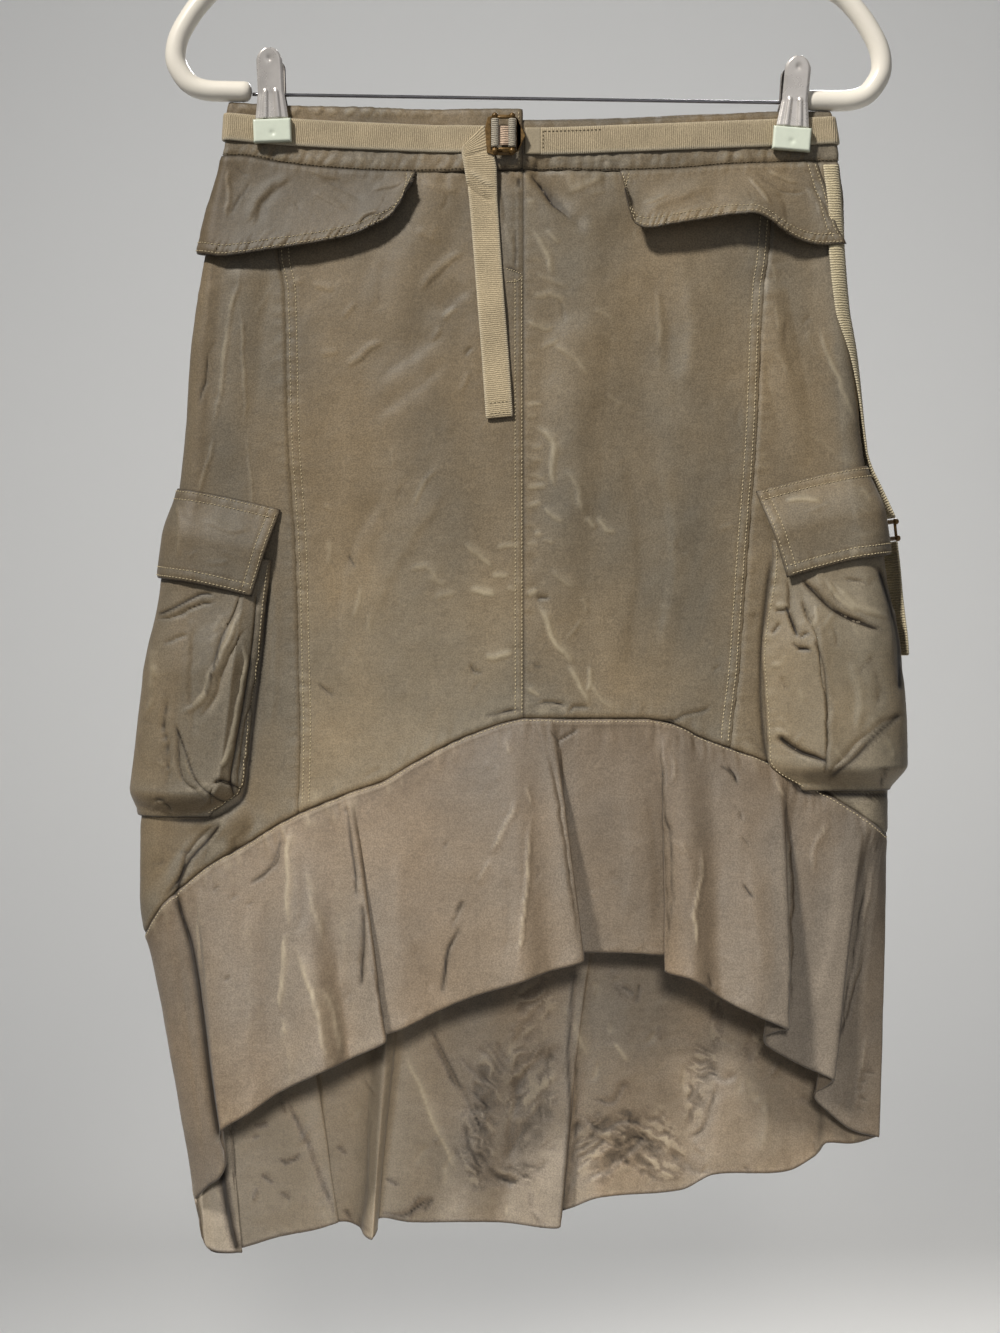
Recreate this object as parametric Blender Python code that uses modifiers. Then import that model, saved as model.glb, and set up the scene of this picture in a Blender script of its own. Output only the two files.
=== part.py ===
"""Cargo utility skirt hanging by its waistband from a clip hanger.

The front faces -Y and +Z is up. The origin is the inside top of the hanger's hook,
where a rail carries the whole thing. Sizes are in millimetres; MM makes them metres
when a mesh is built. A drop is a distance below WAIST_Z, the top of the waist.
"""

import math
from collections import namedtuple

import bmesh
import bpy
from mathutils import Matrix, Vector

MM = 0.001

# Driving dimensions.
WAIST_Z = -234.0
CLOTH = 1.4  # shell fabric, turned and stitched
BAND = 1.6  # waistband, two layers
WEBBING = 1.3
WEBBING_WIDTH = 16.0
SEAM = 0.3  # between neighbouring pieces
BAND_GAP = 0.5  # between the waistband and the panels, which spread at the sides
FLOUNCE_SEAM = 1.4  # above the flounce, which leans out from its seam
LAP = SEAM + BAND  # how far the left waistband stands over the right one
FLY_X = -3.0
LAP_END_X = -4.0
UNDERLAP_X = -30.0
BAND_WRAP = 14.0  # the front waistbands reach this far round each side

BAR_Z = -229.0
TUBE_RISE = 1.6  # the tube's lower run is this far above the bar
HANGER_TILT = math.radians(0.9)
HANGER_TUBE_RADIUS = 6.4
BAR_RADIUS = 1.1
HOOK_RADIUS = 22.0  # inside
HOOK_WIRE_RADIUS = 2.0
NECK_Z = -81.0
TUBE_END_X = 172.0
CLIP_X = {"left": -159.5, "right": 165.5}
CLIP_DROP = 6.0  # the jaws hang this far below the middle of their spring
CLIP_LEAN = {"left": math.radians(-3.2), "right": math.radians(3.8)}

# The body: how far it reaches left and right of the hanging line, the radius of its
# folded side edges, and how far the front and back bulge beyond that radius.
Section = namedtuple("Section", "drop left right edge front back")
BODY = (
    Section(0, 186, 187.5, 1.0, 6.0, 3.0),
    Section(35, 189, 192.5, 1.6, 7.0, 3.5),
    Section(60, 194.5, 194.5, 3.0, 8.0, 4.0),
    Section(97, 200.5, 196, 5.5, 9.0, 5.0),
    Section(121, 204.5, 197.5, 7.0, 10.0, 5.5),
    Section(159, 209.5, 202, 9.0, 11.0, 6.0),
    Section(208, 212.5, 206.5, 11.0, 12.0, 6.0),
    Section(276, 220.5, 214.5, 13.5, 12.0, 7.0),
    Section(338, 227.5, 218.5, 15.0, 12.5, 7.0),
    Section(400, 234, 222, 16.0, 13.0, 8.0),
    Section(450, 240, 222.5, 17.0, 14.0, 9.0),
    Section(490, 240.5, 220, 17.5, 14.5, 9.5),
    Section(530, 235, 218, 18.0, 15.0, 10.0),
)

# Edges that run across the skirt: the drop at each distance from the centre line.
Across = namedtuple("Across", "x drop")
BAND_TOP_LEFT = (
    Across(-188, -2), Across(-153, 0.4), Across(-105, 1.9), Across(-56, 4.3), Across(0, 4.3),
)
BAND_TOP_RIGHT = (
    Across(-40, 11), Across(14, 11), Across(55, 10), Across(109, 7.2), Across(146, 4.4),
    Across(188, 3.8),
)
BAND_TOP_BACK = (
    Across(-188, -2), Across(-100, 2), Across(0, 8), Across(60, 7), Across(110, 5), Across(188, 3.8),
)
BAND_SEAM = (
    Across(-191, 31.6), Across(-180, 31.4), Across(-154, 35.7), Across(-133, 38.7),
    Across(-92, 41.8), Across(-55, 42.8), Across(0, 41.2), Across(45, 42.2), Across(86, 40.9),
    Across(132, 37), Across(194, 34.7),
)
BELT_MIDDLE = (
    Across(-188, 13), Across(-143, 17.3), Across(-92, 20.5), Across(-42, 23), Across(8, 24),
    Across(60, 22), Across(120, 19), Across(188, 15.5),
)
HEM_SEAM_FRONT = (
    Across(-238, 516), Across(-225, 496), Across(-213, 485), Across(-192, 469), Across(-179, 462),
    Across(-146, 442), Across(-108, 426), Across(-88, 419), Across(-69, 407.5), Across(-36, 391),
    Across(1, 381), Across(69, 381), Across(85, 383), Across(107, 393), Across(151, 410),
    Across(186, 429), Across(214, 447), Across(221, 453),
)
HEM_SEAM_BACK = (
    Across(-238, 516), Across(-200, 524), Across(-120, 531), Across(-20, 526), Across(60, 513),
    Across(150, 486), Across(221, 453),
)

# The princess seams, front and back: their distance from the centre line at each drop.
Princess = namedtuple("Princess", "drop left right")
PRINCESS = (
    Princess(30, -158, 154), Princess(95, -155, 149), Princess(115, -151, 146),
    Princess(208, -148, 141), Princess(283, -143, 135), Princess(350, -141, 130),
    Princess(392, -140, 125), Princess(540, -146, 116),
)

# Large soft folds in the body: a ridge, or with a height below 0 a trough, from one
# place to another. side is -1 on the front and 1 on the back.
Crease = namedtuple("Crease", "side x0 drop0 x1 drop1 reach height")
BODY_FOLDS = (
    Crease(-1, -182, 443, -224, 496, 15, 4.5),
    Crease(-1, -196, 456, -208, 484, 13, -3.5),
    Crease(-1, 8, 42, 28, 72, 11, -3.0),
    Crease(-1, -60, 60, -92, 150, 24, 2.0),
    Crease(-1, 62, 90, 80, 240, 30, -2.2),
    Crease(-1, -70, 180, -40, 330, 34, 2.4),
    Crease(-1, 30, 150, 16, 350, 22, 2.2),
    Crease(-1, 190, 60, 196, 200, 18, 1.5),
    Crease(-1, 150, 120, 168, 215, 12, 2.0),
    Crease(-1, -175, 110, -186, 215, 16, 2.0),
    Crease(1, -90, 70, -60, 260, 30, 2.2),
    Crease(1, 70, 60, 100, 280, 34, -2.2),
    Crease(1, 30, 240, -10, 430, 30, 2.4),
    Crease(1, -120, 300, -150, 470, 26, 2.2),
)

# The flounce: each row is one fold line, from its place along the seam to its place
# at the hem. depth is the hem's distance in front (-) or behind (+) the hanging line.
Fold = namedtuple("Fold", "seam_x x depth drop")
SIDE_LEFT, SIDE_RIGHT = -1000, 1000  # the seam_x of the outermost line at each side
FRONT_FOLDS = (
    Fold(SIDE_LEFT, -207, 3, 681), Fold(-221, -196, -13, 667), Fold(-213, -186, -22, 657),
    Fold(-210, -177, -27, 646), Fold(-206, -177, -35, 639), Fold(-203, -184, -43, 629),
    Fold(-196, -169, -47, 618), Fold(-165, -151, -44, 606), Fold(-149, -124, -52, 592),
    Fold(-125, -108, -41, 586), Fold(-112, -87, -50, 575), Fold(-107, -91, -41, 573),
    Fold(-97, -77, -42, 568), Fold(-61, -52, -40, 556), Fold(-37, -32, -47, 547),
    Fold(-12, -6, -56, 538), Fold(1, 12, -50, 532), Fold(11, 32, -44, 527),
    Fold(15, 28, -35, 525), Fold(19, 25, -26, 524), Fold(29, 42, -23, 524),
    Fold(60, 73, -24, 525), Fold(74, 93, -25, 527), Fold(78, 93, -34, 529),
    Fold(83, 83, -43, 533), Fold(95, 98, -50, 537), Fold(110, 116, -43, 549),
    Fold(129, 137, -48, 559), Fold(153, 156, -43, 568), Fold(158, 152, -35, 570),
    Fold(162, 144, -27, 575), Fold(167, 147, -19, 582), Fold(182, 168, -18, 594),
    Fold(205, 187, -17, 603), Fold(209, 184, -9, 609), Fold(213, 178, -2, 616),
    Fold(217, 188, 1, 627), Fold(219.5, 202, 4, 638), Fold(SIDE_RIGHT, 220, 9, 644),
)
BACK_FOLDS = (
    Fold(SIDE_RIGHT, 220, 11, 644), Fold(218, 206, 18, 650), Fold(211, 188, 22, 651),
    Fold(204, 182, 32, 662), Fold(181, 166, 37, 672), Fold(147, 119, 32, 673),
    Fold(120, 98, 40, 685), Fold(76, 47, 34, 688), Fold(54, 29, 40, 696),
    Fold(47, 17, 36, 700), Fold(42, 21, 29, 706), Fold(32, 8, 29, 706),
    Fold(11, -14, 37, 705), Fold(-17, -42, 31, 703), Fold(-48, -75, 38, 705),
    Fold(-68, -92, 41, 703), Fold(-74, -97, 34, 704), Fold(-79, -94, 24, 706),
    Fold(-84, -98, 15, 710), Fold(-88, -104, 23, 710), Fold(-92, -108, 34, 707),
    Fold(-98, -116, 40, 705), Fold(-132, -129, 40, 706), Fold(-144, -125, 33, 704),
    Fold(-152, -120, 26, 702), Fold(-162, -134, 24, 706), Fold(-174, -157, 26, 711),
    Fold(-186, -185, 22, 718), Fold(-191, -194, 20, 716), Fold(-196, -187, 13, 717),
    Fold(-201, -179, 7, 716), Fold(-212, -195, 4, 715), Fold(-228, -202, 6, 711),
    Fold(SIDE_LEFT, -207, 5, 686),
)
FLOUNCE_ROWS = 5
FLOUNCE_BELLY = 4.0
FLOUNCE_SPREAD = 0.8  # below 1, the folds open out quickly under the seam

# Round-the-side outlines. round is the distance round from the outermost line of that
# side along the cloth, towards the front positive, and drop is the piece's lower edge.
Hem = namedtuple("Hem", "round drop")
HIP_FLAP_HEM = {
    "left": (
        Hem(-12, 90), Hem(0, 92.5), Hem(14, 96), Hem(42, 93), Hem(72, 89), Hem(91, 85),
        Hem(105, 79.5), Hem(114, 74), Hem(119, 66), Hem(122, 54),
    ),
    "right": (
        Hem(5, 87.5), Hem(18, 88.7), Hem(32, 86), Hem(44, 80.5), Hem(52, 75), Hem(60, 72.5),
        Hem(67, 72.5), Hem(93, 76), Hem(114, 79.5), Hem(126, 81), Hem(132, 79), Hem(136, 72),
        Hem(137, 58),
    ),
}
HIP_FLAP_STAND = {"left": 7.0, "right": 9.0}  # how far the hem stands off the panel

# The cargo pockets, by round and drop as above: the flap's four corners, then the bag.
Flap = namedtuple(
    "Flap",
    "top_front top_side top_back hem_front hem_side hem_back front back front_hem back_hem side_stand",
)
CARGO_FLAP = {
    "left": Flap(253, 239, 242, 306, 294, 298, 72, -72, 63, -66, 4.4),
    "right": Flap(241.6, 225, 230, 294.5, 279.5, 286, 77, -72, 66, -66, 6.8),
}
FLAP_STAND = 7.2  # how far the cargo flaps stand off over the front and back of their bags
# top_part is the part of the width left at the mouth, side_part the part of the height
# left where the bag bends round the side.
Bag = namedtuple(
    "Bag", "top bottom front back gusset_front gusset_back mouth height top_part side_part"
)
CARGO_BAG = {
    "left": Bag(284, 441, 71, -71, 13, 13, 4.5, 13.0, 1.0, 0.5),
    "right": Bag(272, 425, 84, -71, 34, 13, 4.5, 12.5, 0.85, 0.82),
}

# The side straps: the strap's middle line round the side, and how far it stands off.
Strap = namedtuple("Strap", "drop round out")
STRAP = {
    "right": (
        Strap(38, 2, 3.0), Strap(60, 2, 3.1), Strap(95, 4, 3.0), Strap(128, 4, 2.7),
        Strap(159, 1, 2.5), Strap(195, -4, 2.6), Strap(216, -7, 3.2), Strap(226, -8, 5.2),
        Strap(240, -8, 9.8), Strap(258, -8, 15.6),
    ),
    "left": (
        Strap(38, -24, 2.3), Strap(120, -25, 2.3), Strap(195, -26, 2.6), Strap(232, -26, 3.4),
        Strap(242, -26, 5.4), Strap(256, -26, 9.8), Strap(272, -26, 13.6),
    ),
}
TAIL_LENGTH = {"right": 70.0, "left": 62.0}
TAIL_STAND = 2.5  # how much further off the tail stands at its end
TAIL_WIDTH = 0.94  # in parts of the strap's
SLIDER_GAP = 0.7  # between a slider and the webbing above and below it
SLIDER_STAND = 1.4  # how far the slider lies outside the webbing's middle

# The belt's hanging tail: its left and right edges at each drop.
Tail = namedtuple("Tail", "left_x left_drop right_x right_drop")
BELT_TAIL = (
    Tail(-40.5, 28.5, -27.5, 15.5), Tail(-40.5, 33, -22.5, 28.5), Tail(-39, 41, -20, 41),
    Tail(-36, 60, -19.5, 60), Tail(-34, 84, -18, 84), Tail(-31, 122, -15.5, 121),
    Tail(-28, 160, -12.5, 158), Tail(-25.5, 197, -10, 195.5),
)
BUCKLE_X, BUCKLE_DROP = -15.2, 21.0
POST_SPACING, POST_HEIGHT, POST_RADIUS, BALL_RADIUS = 10.6, 24.0, 1.4, 2.0
BALL_INSET = 1.2  # from a post's end to the middle of its ball
CROSS_INSET = 2.2  # and to the middle of the cross bar
POST_TURN = 0.2  # keeps the facets of a post and its cross bars apart


def smooth_table(rows, key, column):
    """A smooth function through one named column of a short table, with no overshoot."""
    xs = [getattr(row, key) for row in rows]
    ys = [getattr(row, column) for row in rows]
    steps = [(ys[i + 1] - ys[i]) / (xs[i + 1] - xs[i]) for i in range(len(xs) - 1)]
    inner = [0.0 if a * b <= 0 else 2 * a * b / (a + b) for a, b in zip(steps, steps[1:])]
    slopes = [steps[0]] + inner + [steps[-1]]

    def value(x):
        x = min(max(x, xs[0]), xs[-1])
        i = max(k for k in range(len(xs) - 1) if x >= xs[k])
        width = xs[i + 1] - xs[i]
        t = (x - xs[i]) / width
        near = ys[i] * (1 + 2 * t) + slopes[i] * width * t
        far = ys[i + 1] * (3 - 2 * t) + slopes[i + 1] * width * (t - 1)
        return near * (1 - t) ** 2 + far * t * t

    return value


BODY_AT = {column: smooth_table(BODY, "drop", column) for column in Section._fields[1:]}
PRINCESS_AT = {column: smooth_table(PRINCESS, "drop", column) for column in ("left", "right")}
BAND_SEAM_AT = smooth_table(BAND_SEAM, "x", "drop")
BELT_AT = smooth_table(BELT_MIDDLE, "x", "drop")
HEM_FRONT_AT = smooth_table(HEM_SEAM_FRONT, "x", "drop")
HEM_BACK_AT = smooth_table(HEM_SEAM_BACK, "x", "drop")


def ease(t):
    """0 to 1 with flat ends."""
    t = min(max(t, 0.0), 1.0)
    return t * t * (3 - 2 * t)


def lerp(a, b, t):
    return a + (b - a) * t


def spread(*stops):
    """Values from (start, count), (next, count), ..., (end, 0), evenly spaced between stops."""
    values = []
    for (start, count), (end, _) in zip(stops, stops[1:]):
        values += [lerp(start, end, i / count) for i in range(count)]
    return values + [stops[-1][0]]


# The body is a flattened tube. A station goes round it: 0 at centre front, 1 where the
# right side starts to turn, 1.5 outermost, 2 where the back starts, 3 at centre back,
# and the same below 0 round the left side.
def girth(drop):
    """The middle, half width of the flat stretch, and edge radius at this drop."""
    left, right, edge = (BODY_AT[column](drop) for column in ("left", "right", "edge"))
    return (right - left) / 2, (right + left) / 2 - edge, edge


def wrapped(station):
    """The same place, with the station between -3 and 3."""
    return station - 6 if station > 3 else station


def ring(drop, station):
    station = wrapped(station)
    middle, half, edge = girth(drop)
    side, t = (1 if station >= 0 else -1), abs(station)
    if t <= 1:
        x, y = station * half, -edge - BODY_AT["front"](drop) * (1 - t * t) ** 2
    elif t <= 2:
        angle = math.pi * (t - 1.5)
        x, y = side * (half + edge * math.cos(angle)), edge * math.sin(angle)
    else:
        u = 3 - t
        x, y = side * u * half, edge + BODY_AT["back"](drop) * (1 - u * u) ** 2
    return Vector((middle + x, y, WAIST_Z - drop))


def fold_height(drop, station, x):
    """The large soft folds of the body at this place."""
    side = -1 if abs(wrapped(station)) < 1.5 else 1
    total = 0.0
    for crease in BODY_FOLDS:
        if crease.side != side:
            continue
        start = Vector((crease.x0, crease.drop0))
        along = Vector((crease.x1, crease.drop1)) - start
        here = Vector((x, drop)) - start
        nearest = min(max(here.dot(along) / along.dot(along), 0.0), 1.0)
        away = (here - along * nearest).length / crease.reach
        total += crease.height * max(0.0, 1 - away * away) ** 2
    return total * ease(abs(abs(wrapped(station)) - 1.5) / 0.2)


def surface(drop, station, out=0.0):
    """A point of the body's inner face, moved out along the cloth's normal."""
    point = ring(drop, station)
    along = ring(drop, station + 0.004) - ring(drop, station - 0.004)
    down = ring(drop + 1.0, station) - ring(drop - 1.0, station)
    normal = down.cross(along).normalized()
    return point + normal * (out + fold_height(drop, station, point.x))


def station_of_x(drop, x):
    """The front station at this distance from the centre line."""
    middle, half, edge = girth(drop)
    reach = x - middle
    if abs(reach) <= half:
        return reach / half
    angle = math.acos(min((abs(reach) - half) / edge, 1.0))
    return math.copysign(1.5 - angle / math.pi, reach)


def back_station_of_x(drop, x):
    """The back station at this distance from the centre line."""
    return 3 - station_of_x(drop, x)


def station_round(drop, side, distance):
    """The station this far round from a side's outermost line, towards the front."""
    middle, half, edge = girth(drop)
    quarter = math.pi * edge / 2
    if abs(distance) <= quarter:
        t = 1.5 - distance / (math.pi * edge)
    elif distance > 0:
        t = 1 - (distance - quarter) / half
    else:
        t = 2 + (-distance - quarter) / half
    return side * t


def side_of(name):
    return -1 if name == "left" else 1


def finish(name, colour, roughness, metallic=0.0):
    material = bpy.data.materials.new(name)
    material.use_nodes = True
    shader = material.node_tree.nodes["Principled BSDF"]
    shader.inputs["Base Color"].default_value = (*colour, 1.0)
    shader.inputs["Roughness"].default_value = roughness
    shader.inputs["Metallic"].default_value = metallic
    return material


def place(obj, material):
    """Links a finished object to the skirt's collection."""
    PARTS.objects.link(obj)
    obj.data.materials.append(material)
    return obj


def sheet(name, grid, thickness, material):
    """A cloth shell: rows of points running down, left to right as seen from outside."""
    mesh = bpy.data.meshes.new(name)
    work = bmesh.new()
    rows = [[work.verts.new(point * MM) for point in row] for row in grid]
    for upper, lower in zip(rows, rows[1:]):
        for i in range(len(upper) - 1):
            work.faces.new((upper[i], lower[i], lower[i + 1], upper[i + 1])).smooth = True
    work.to_mesh(mesh)
    work.free()
    obj = place(bpy.data.objects.new(name, mesh), material)
    wall = obj.modifiers.new("wall", "SOLIDIFY")
    wall.thickness = thickness * MM
    wall.offset = 1.0
    return obj


def tube(name, points, radius, material, resolution=3):
    """A round bar or wire along a smooth run of points."""
    curve = bpy.data.curves.new(name, "CURVE")
    curve.dimensions = "3D"
    curve.bevel_depth = radius * MM
    curve.bevel_resolution = resolution
    curve.use_fill_caps = True
    spline = curve.splines.new("POLY")
    spline.points.add(len(points) - 1)
    for target, point in zip(spline.points, points):
        target.co = (*(Vector(point) * MM), 1.0)
    return place(bpy.data.objects.new(name, curve), material)


def box(name, size, material, bevel=0.0):
    mesh = bpy.data.meshes.new(name)
    work = bmesh.new()
    bmesh.ops.create_cube(work, size=1.0, matrix=Matrix.Diagonal((*(Vector(size) * MM), 1.0)))
    work.to_mesh(mesh)
    work.free()
    obj = place(bpy.data.objects.new(name, mesh), material)
    if bevel:
        rounding = obj.modifiers.new("edges", "BEVEL")
        rounding.width = bevel * MM
        rounding.segments = 1
    return obj


def unite(obj, others):
    """Joins overlapping pieces to obj with Boolean unions."""
    for other in others:
        PARTS.objects.unlink(other)
        CUTTERS.objects.link(other)
        other.hide_render = True
        other.display_type = "WIRE"
        union = obj.modifiers.new("union", "BOOLEAN")
        union.operation = "UNION"
        union.object = other


# Cloth pieces. Each column is a function giving its station at a drop.
def column_point(column, start, end, v, out):
    """A point v of the way down a column between two edges, which depend on x."""
    edges = []
    for edge, guess in ((start, 40.0), (end, 440.0)):
        drop = guess
        for _ in range(8):
            station = column(drop)
            drop = edge(ring(drop, station).x, station)
        edges.append(drop)
    drop = lerp(edges[0], edges[1], v)
    station = column(drop)
    return surface(drop, station, out(drop, station) if out else 0.0)


def panel(name, columns, start, end, rows, material, thickness=CLOTH, out=None):
    grid = []
    for i in range(rows + 1):
        grid.append([column_point(column, start, end, i / rows, out) for column in columns])
    return sheet(name, grid, thickness, material)


def between(left_edge, right_edge, count):
    """Columns spaced evenly between two seams, which are functions of drop."""
    return [
        lambda drop, t=i / count: lerp(left_edge(drop), right_edge(drop), t)
        for i in range(count + 1)
    ]


def front_x(x_at, shift=0.0):
    return lambda drop: station_of_x(drop, x_at(drop) + shift)


def back_x(x_at, shift=0.0):
    return lambda drop: back_station_of_x(drop, x_at(drop) + shift)


def below_band(x, station):
    return BAND_SEAM_AT(x) + BAND_GAP / 2


def above_flounce(x, station):
    return flounce_seam(x, station) - FLOUNCE_SEAM / 2


def flounce_seam(x, station):
    return HEM_FRONT_AT(x) if abs(wrapped(station)) <= 1.5 else HEM_BACK_AT(x)


def build_panels(material):
    gap = SEAM / 2
    fly = lambda drop: FLY_X
    left, right = PRINCESS_AT["left"], PRINCESS_AT["right"]
    rows = 11
    front_left = between(front_x(left, gap), front_x(fly, -gap), 9)
    panel("panel_front_left", front_left, below_band, above_flounce, rows, material)
    front_right = between(front_x(fly, gap), front_x(right, -gap), 9)
    panel("panel_front_right", front_right, below_band, above_flounce, rows, material)

    edge_count, turn_count = 3, 6
    left_back = back_x(left, -gap)
    side_left = between(lambda drop: left_back(drop) - 6, lambda drop: -2.0, edge_count)[:-1]
    side_left += between(lambda drop: -2.0, lambda drop: -1.0, turn_count)[:-1]
    side_left += between(lambda drop: -1.0, front_x(left, -gap), edge_count)
    panel("panel_side_left", side_left, below_band, above_flounce, rows, material)
    side_right = between(front_x(right, gap), lambda drop: 1.0, edge_count)[:-1]
    side_right += between(lambda drop: 1.0, lambda drop: 2.0, turn_count)[:-1]
    side_right += between(lambda drop: 2.0, back_x(right, gap), edge_count)
    panel("panel_side_right", side_right, below_band, above_flounce, rows, material)

    # The back is seen from behind, so its columns run from the right seam to the left.
    centre = lambda drop: 0.0
    back_right = between(back_x(right, -gap), back_x(centre, gap), 8)
    panel("panel_back_right", back_right, below_band, above_flounce, rows, material)
    back_left = between(back_x(centre, -gap), back_x(left, gap), 8)
    panel("panel_back_left", back_left, below_band, above_flounce, rows, material)


def lap_out(drop, station):
    """The left waistband rises over the end of the right one towards the buckle."""
    x = ring(drop, station).x
    return LAP * ease((x + 62) / 26) if abs(station) < 1.5 else 0.0


def round_columns(side, wrap, front_end, counts):
    """Columns from the back, round one side, to a place on the front."""
    back = lambda drop: station_round(drop, side, -wrap)
    columns = between(back, lambda drop: side * 2.0, counts[0])[:-1]
    columns += between(lambda drop: side * 2.0, lambda drop: side * 1.0, counts[1])[:-1]
    columns += between(lambda drop: side * 1.0, front_end, counts[2])
    return columns if side < 0 else columns[::-1]


def band_top(rows):
    at = smooth_table(rows, "x", "drop")
    return lambda x, station: at(x)


def above_band_seam(x, station):
    return BAND_SEAM_AT(x) - BAND_GAP / 2


def build_waistband(material):
    left_end = lambda drop: station_of_x(drop, LAP_END_X)
    columns = round_columns(-1, BAND_WRAP, left_end, (1, 4, 12))
    top = band_top(BAND_TOP_LEFT)
    panel("waistband_front_left", columns, top, above_band_seam, 3, material, BAND, lap_out)
    right_end = lambda drop: station_of_x(drop, UNDERLAP_X)
    columns = round_columns(1, BAND_WRAP, right_end, (1, 4, 12))
    top = band_top(BAND_TOP_RIGHT)
    panel("waistband_front_right", columns, top, above_band_seam, 3, material, BAND)
    columns = between(
        lambda drop: station_round(drop, 1, -BAND_WRAP - SEAM),
        lambda drop: 6 + station_round(drop, -1, -BAND_WRAP - SEAM),
        14,
    )
    top = band_top(BAND_TOP_BACK)
    panel("waistband_back", columns, top, above_band_seam, 3, material, BAND)


def belt_edges():
    half = WEBBING_WIDTH / 2
    return (lambda x, station: BELT_AT(x) - half), (lambda x, station: BELT_AT(x) + half)


def build_belt(webbing, cloth):
    on_band = BAND + SEAM
    upper, lower = belt_edges()
    over_lap = lambda drop, station: on_band + lap_out(drop, station)
    flat = lambda drop, station: on_band
    wrap = BAND_WRAP + 2
    left_end = lambda drop: station_of_x(drop, BUCKLE_X - POST_SPACING / 2 - 1)
    columns = round_columns(-1, wrap, left_end, (1, 4, 11))
    panel("belt_front_left", columns, upper, lower, 2, webbing, WEBBING, over_lap)
    right_end = lambda drop: station_of_x(drop, 8.0)
    columns = round_columns(1, wrap, right_end, (1, 4, 10))
    panel("belt_front_right", columns, upper, lower, 2, webbing, WEBBING, flat)
    columns = between(
        lambda drop: station_round(drop, 1, -wrap - SEAM),
        lambda drop: 6 + station_round(drop, -1, -wrap - SEAM),
        14,
    )
    panel("belt_back", columns, upper, lower, 2, webbing, WEBBING, flat)
    tab = between(lambda drop: station_of_x(drop, -1.5), lambda drop: station_of_x(drop, 7.7), 2)
    panel("belt_tab", tab, upper, lower, 2, cloth, WEBBING, flat)


def build_belt_tail(webbing):
    """The belt's free end: folded down beside the buckle, it rests on the front."""
    band_face = abs(ring(BUCKLE_DROP, station_of_x(BUCKLE_DROP, BUCKLE_X)).y)
    hang = band_face + LAP + BAND + WEBBING + 3 * SEAM
    grid = []
    for row in BELT_TAIL:
        line = []
        for t in (0.0, 1 / 3, 2 / 3, 1.0):
            x = lerp(row.left_x, row.right_x, t)
            drop = lerp(row.left_drop, row.right_drop, t)
            cloth = surface(drop, station_of_x(drop, x), CLOTH).y
            line.append(Vector((x, min(-hang, cloth - 0.9), WAIST_Z - drop)))
        grid.append(line)
    sheet("belt_tail", grid, WEBBING, webbing)


def build_buckle(brass, webbing):
    """A ladder buckle: two posts with ball ends and cross bars on a winged plate."""
    centre = Vector((BUCKLE_X, 0, WAIST_Z - BUCKLE_DROP))
    face = abs(ring(BUCKLE_DROP, station_of_x(BUCKLE_DROP, BUCKLE_X)).y)
    plate_back = face + LAP + BAND + 2 * WEBBING + 5 * SEAM
    plate_thickness = 1.2
    post_depth = plate_back + plate_thickness + BALL_RADIUS + SEAM
    half = POST_SPACING / 2

    outline = [
        (-half - 5.0, -11.5), (-half - 6.2, 4), (-half - 4.5, 10.5), (-half, 12), (half, 12),
        (half + 4, 9), (half + 8.2, -1), (half + 4, -10), (half, -13), (-half, -13),
    ]
    hole = [(-half - 2.4, -10), (half + 2.6, -10), (half + 2.6, 9.5), (-half - 2.4, 9.5)]
    curve = bpy.data.curves.new("buckle_plate", "CURVE")
    curve.dimensions = "2D"
    curve.fill_mode = "BOTH"
    curve.extrude = plate_thickness / 2 * MM
    for points in (outline, hole):
        spline = curve.splines.new("POLY")
        spline.use_cyclic_u = True
        spline.points.add(len(points) - 1)
        for target, (x, z) in zip(spline.points, points):
            target.co = (x * MM, z * MM, 0, 1)
    plate = place(bpy.data.objects.new("buckle_plate", curve), brass)
    plate.rotation_euler.x = math.pi / 2
    plate.location = (centre + Vector((0, -plate_back - plate_thickness / 2, 0))) * MM

    ladder("buckle_frame", Matrix.Translation((centre + Vector((0, -post_depth, 0))) * MM), brass)

    # The webbing laced over both posts, seen as three upright strips.
    around = POST_RADIUS + SEAM
    section = []
    for side in (-1, 1):
        post = Vector((side * half, -post_depth, 0))
        for degrees in (200, 235, 270, 305, 340):
            angle = math.radians(degrees)
            section.append(post + around * Vector((math.cos(angle), math.sin(angle), 0)))
        if side < 0:
            section.append(Vector((0, -post_depth + 0.6, 0)))
    rows = [[centre + point + Vector((0, 0, z)) for point in section] for z in (8.2, 0, -8.2)]
    sheet("buckle_webbing", rows, 0.9, webbing)


def ladder(name, matrix, brass):
    """A slider of two upright posts with ball ends, joined top and bottom."""
    half = POST_SPACING / 2
    reach = POST_HEIGHT / 2
    base = box(name, (POST_SPACING, 1.6, 2.0), brass)
    base.matrix_world = matrix @ Matrix.Translation((0, 0, (reach - CROSS_INSET) * MM))
    others = []
    lower = box(name + "_lower", (POST_SPACING, 1.6, 2.0), brass)
    lower.matrix_world = matrix @ Matrix.Translation((0, 0, -(reach - CROSS_INSET) * MM))
    others.append(lower)
    for side in (-1, 1):
        at_post = matrix @ Matrix.Translation((side * half * MM, 0, 0))
        post = cylinder(f"{name}_post_{side}", POST_RADIUS, POST_HEIGHT - 2.5, brass, 8)
        post.matrix_world = at_post @ Matrix.Rotation(POST_TURN, 4, "Z")
        others.append(post)
        for end in (-1, 1):
            ball = sphere(f"{name}_ball_{side}_{end}", BALL_RADIUS, brass)
            ball.matrix_world = at_post @ Matrix.Translation((0, 0, end * (reach - BALL_INSET) * MM))
            others.append(ball)
    unite(base, others)
    return base


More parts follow.
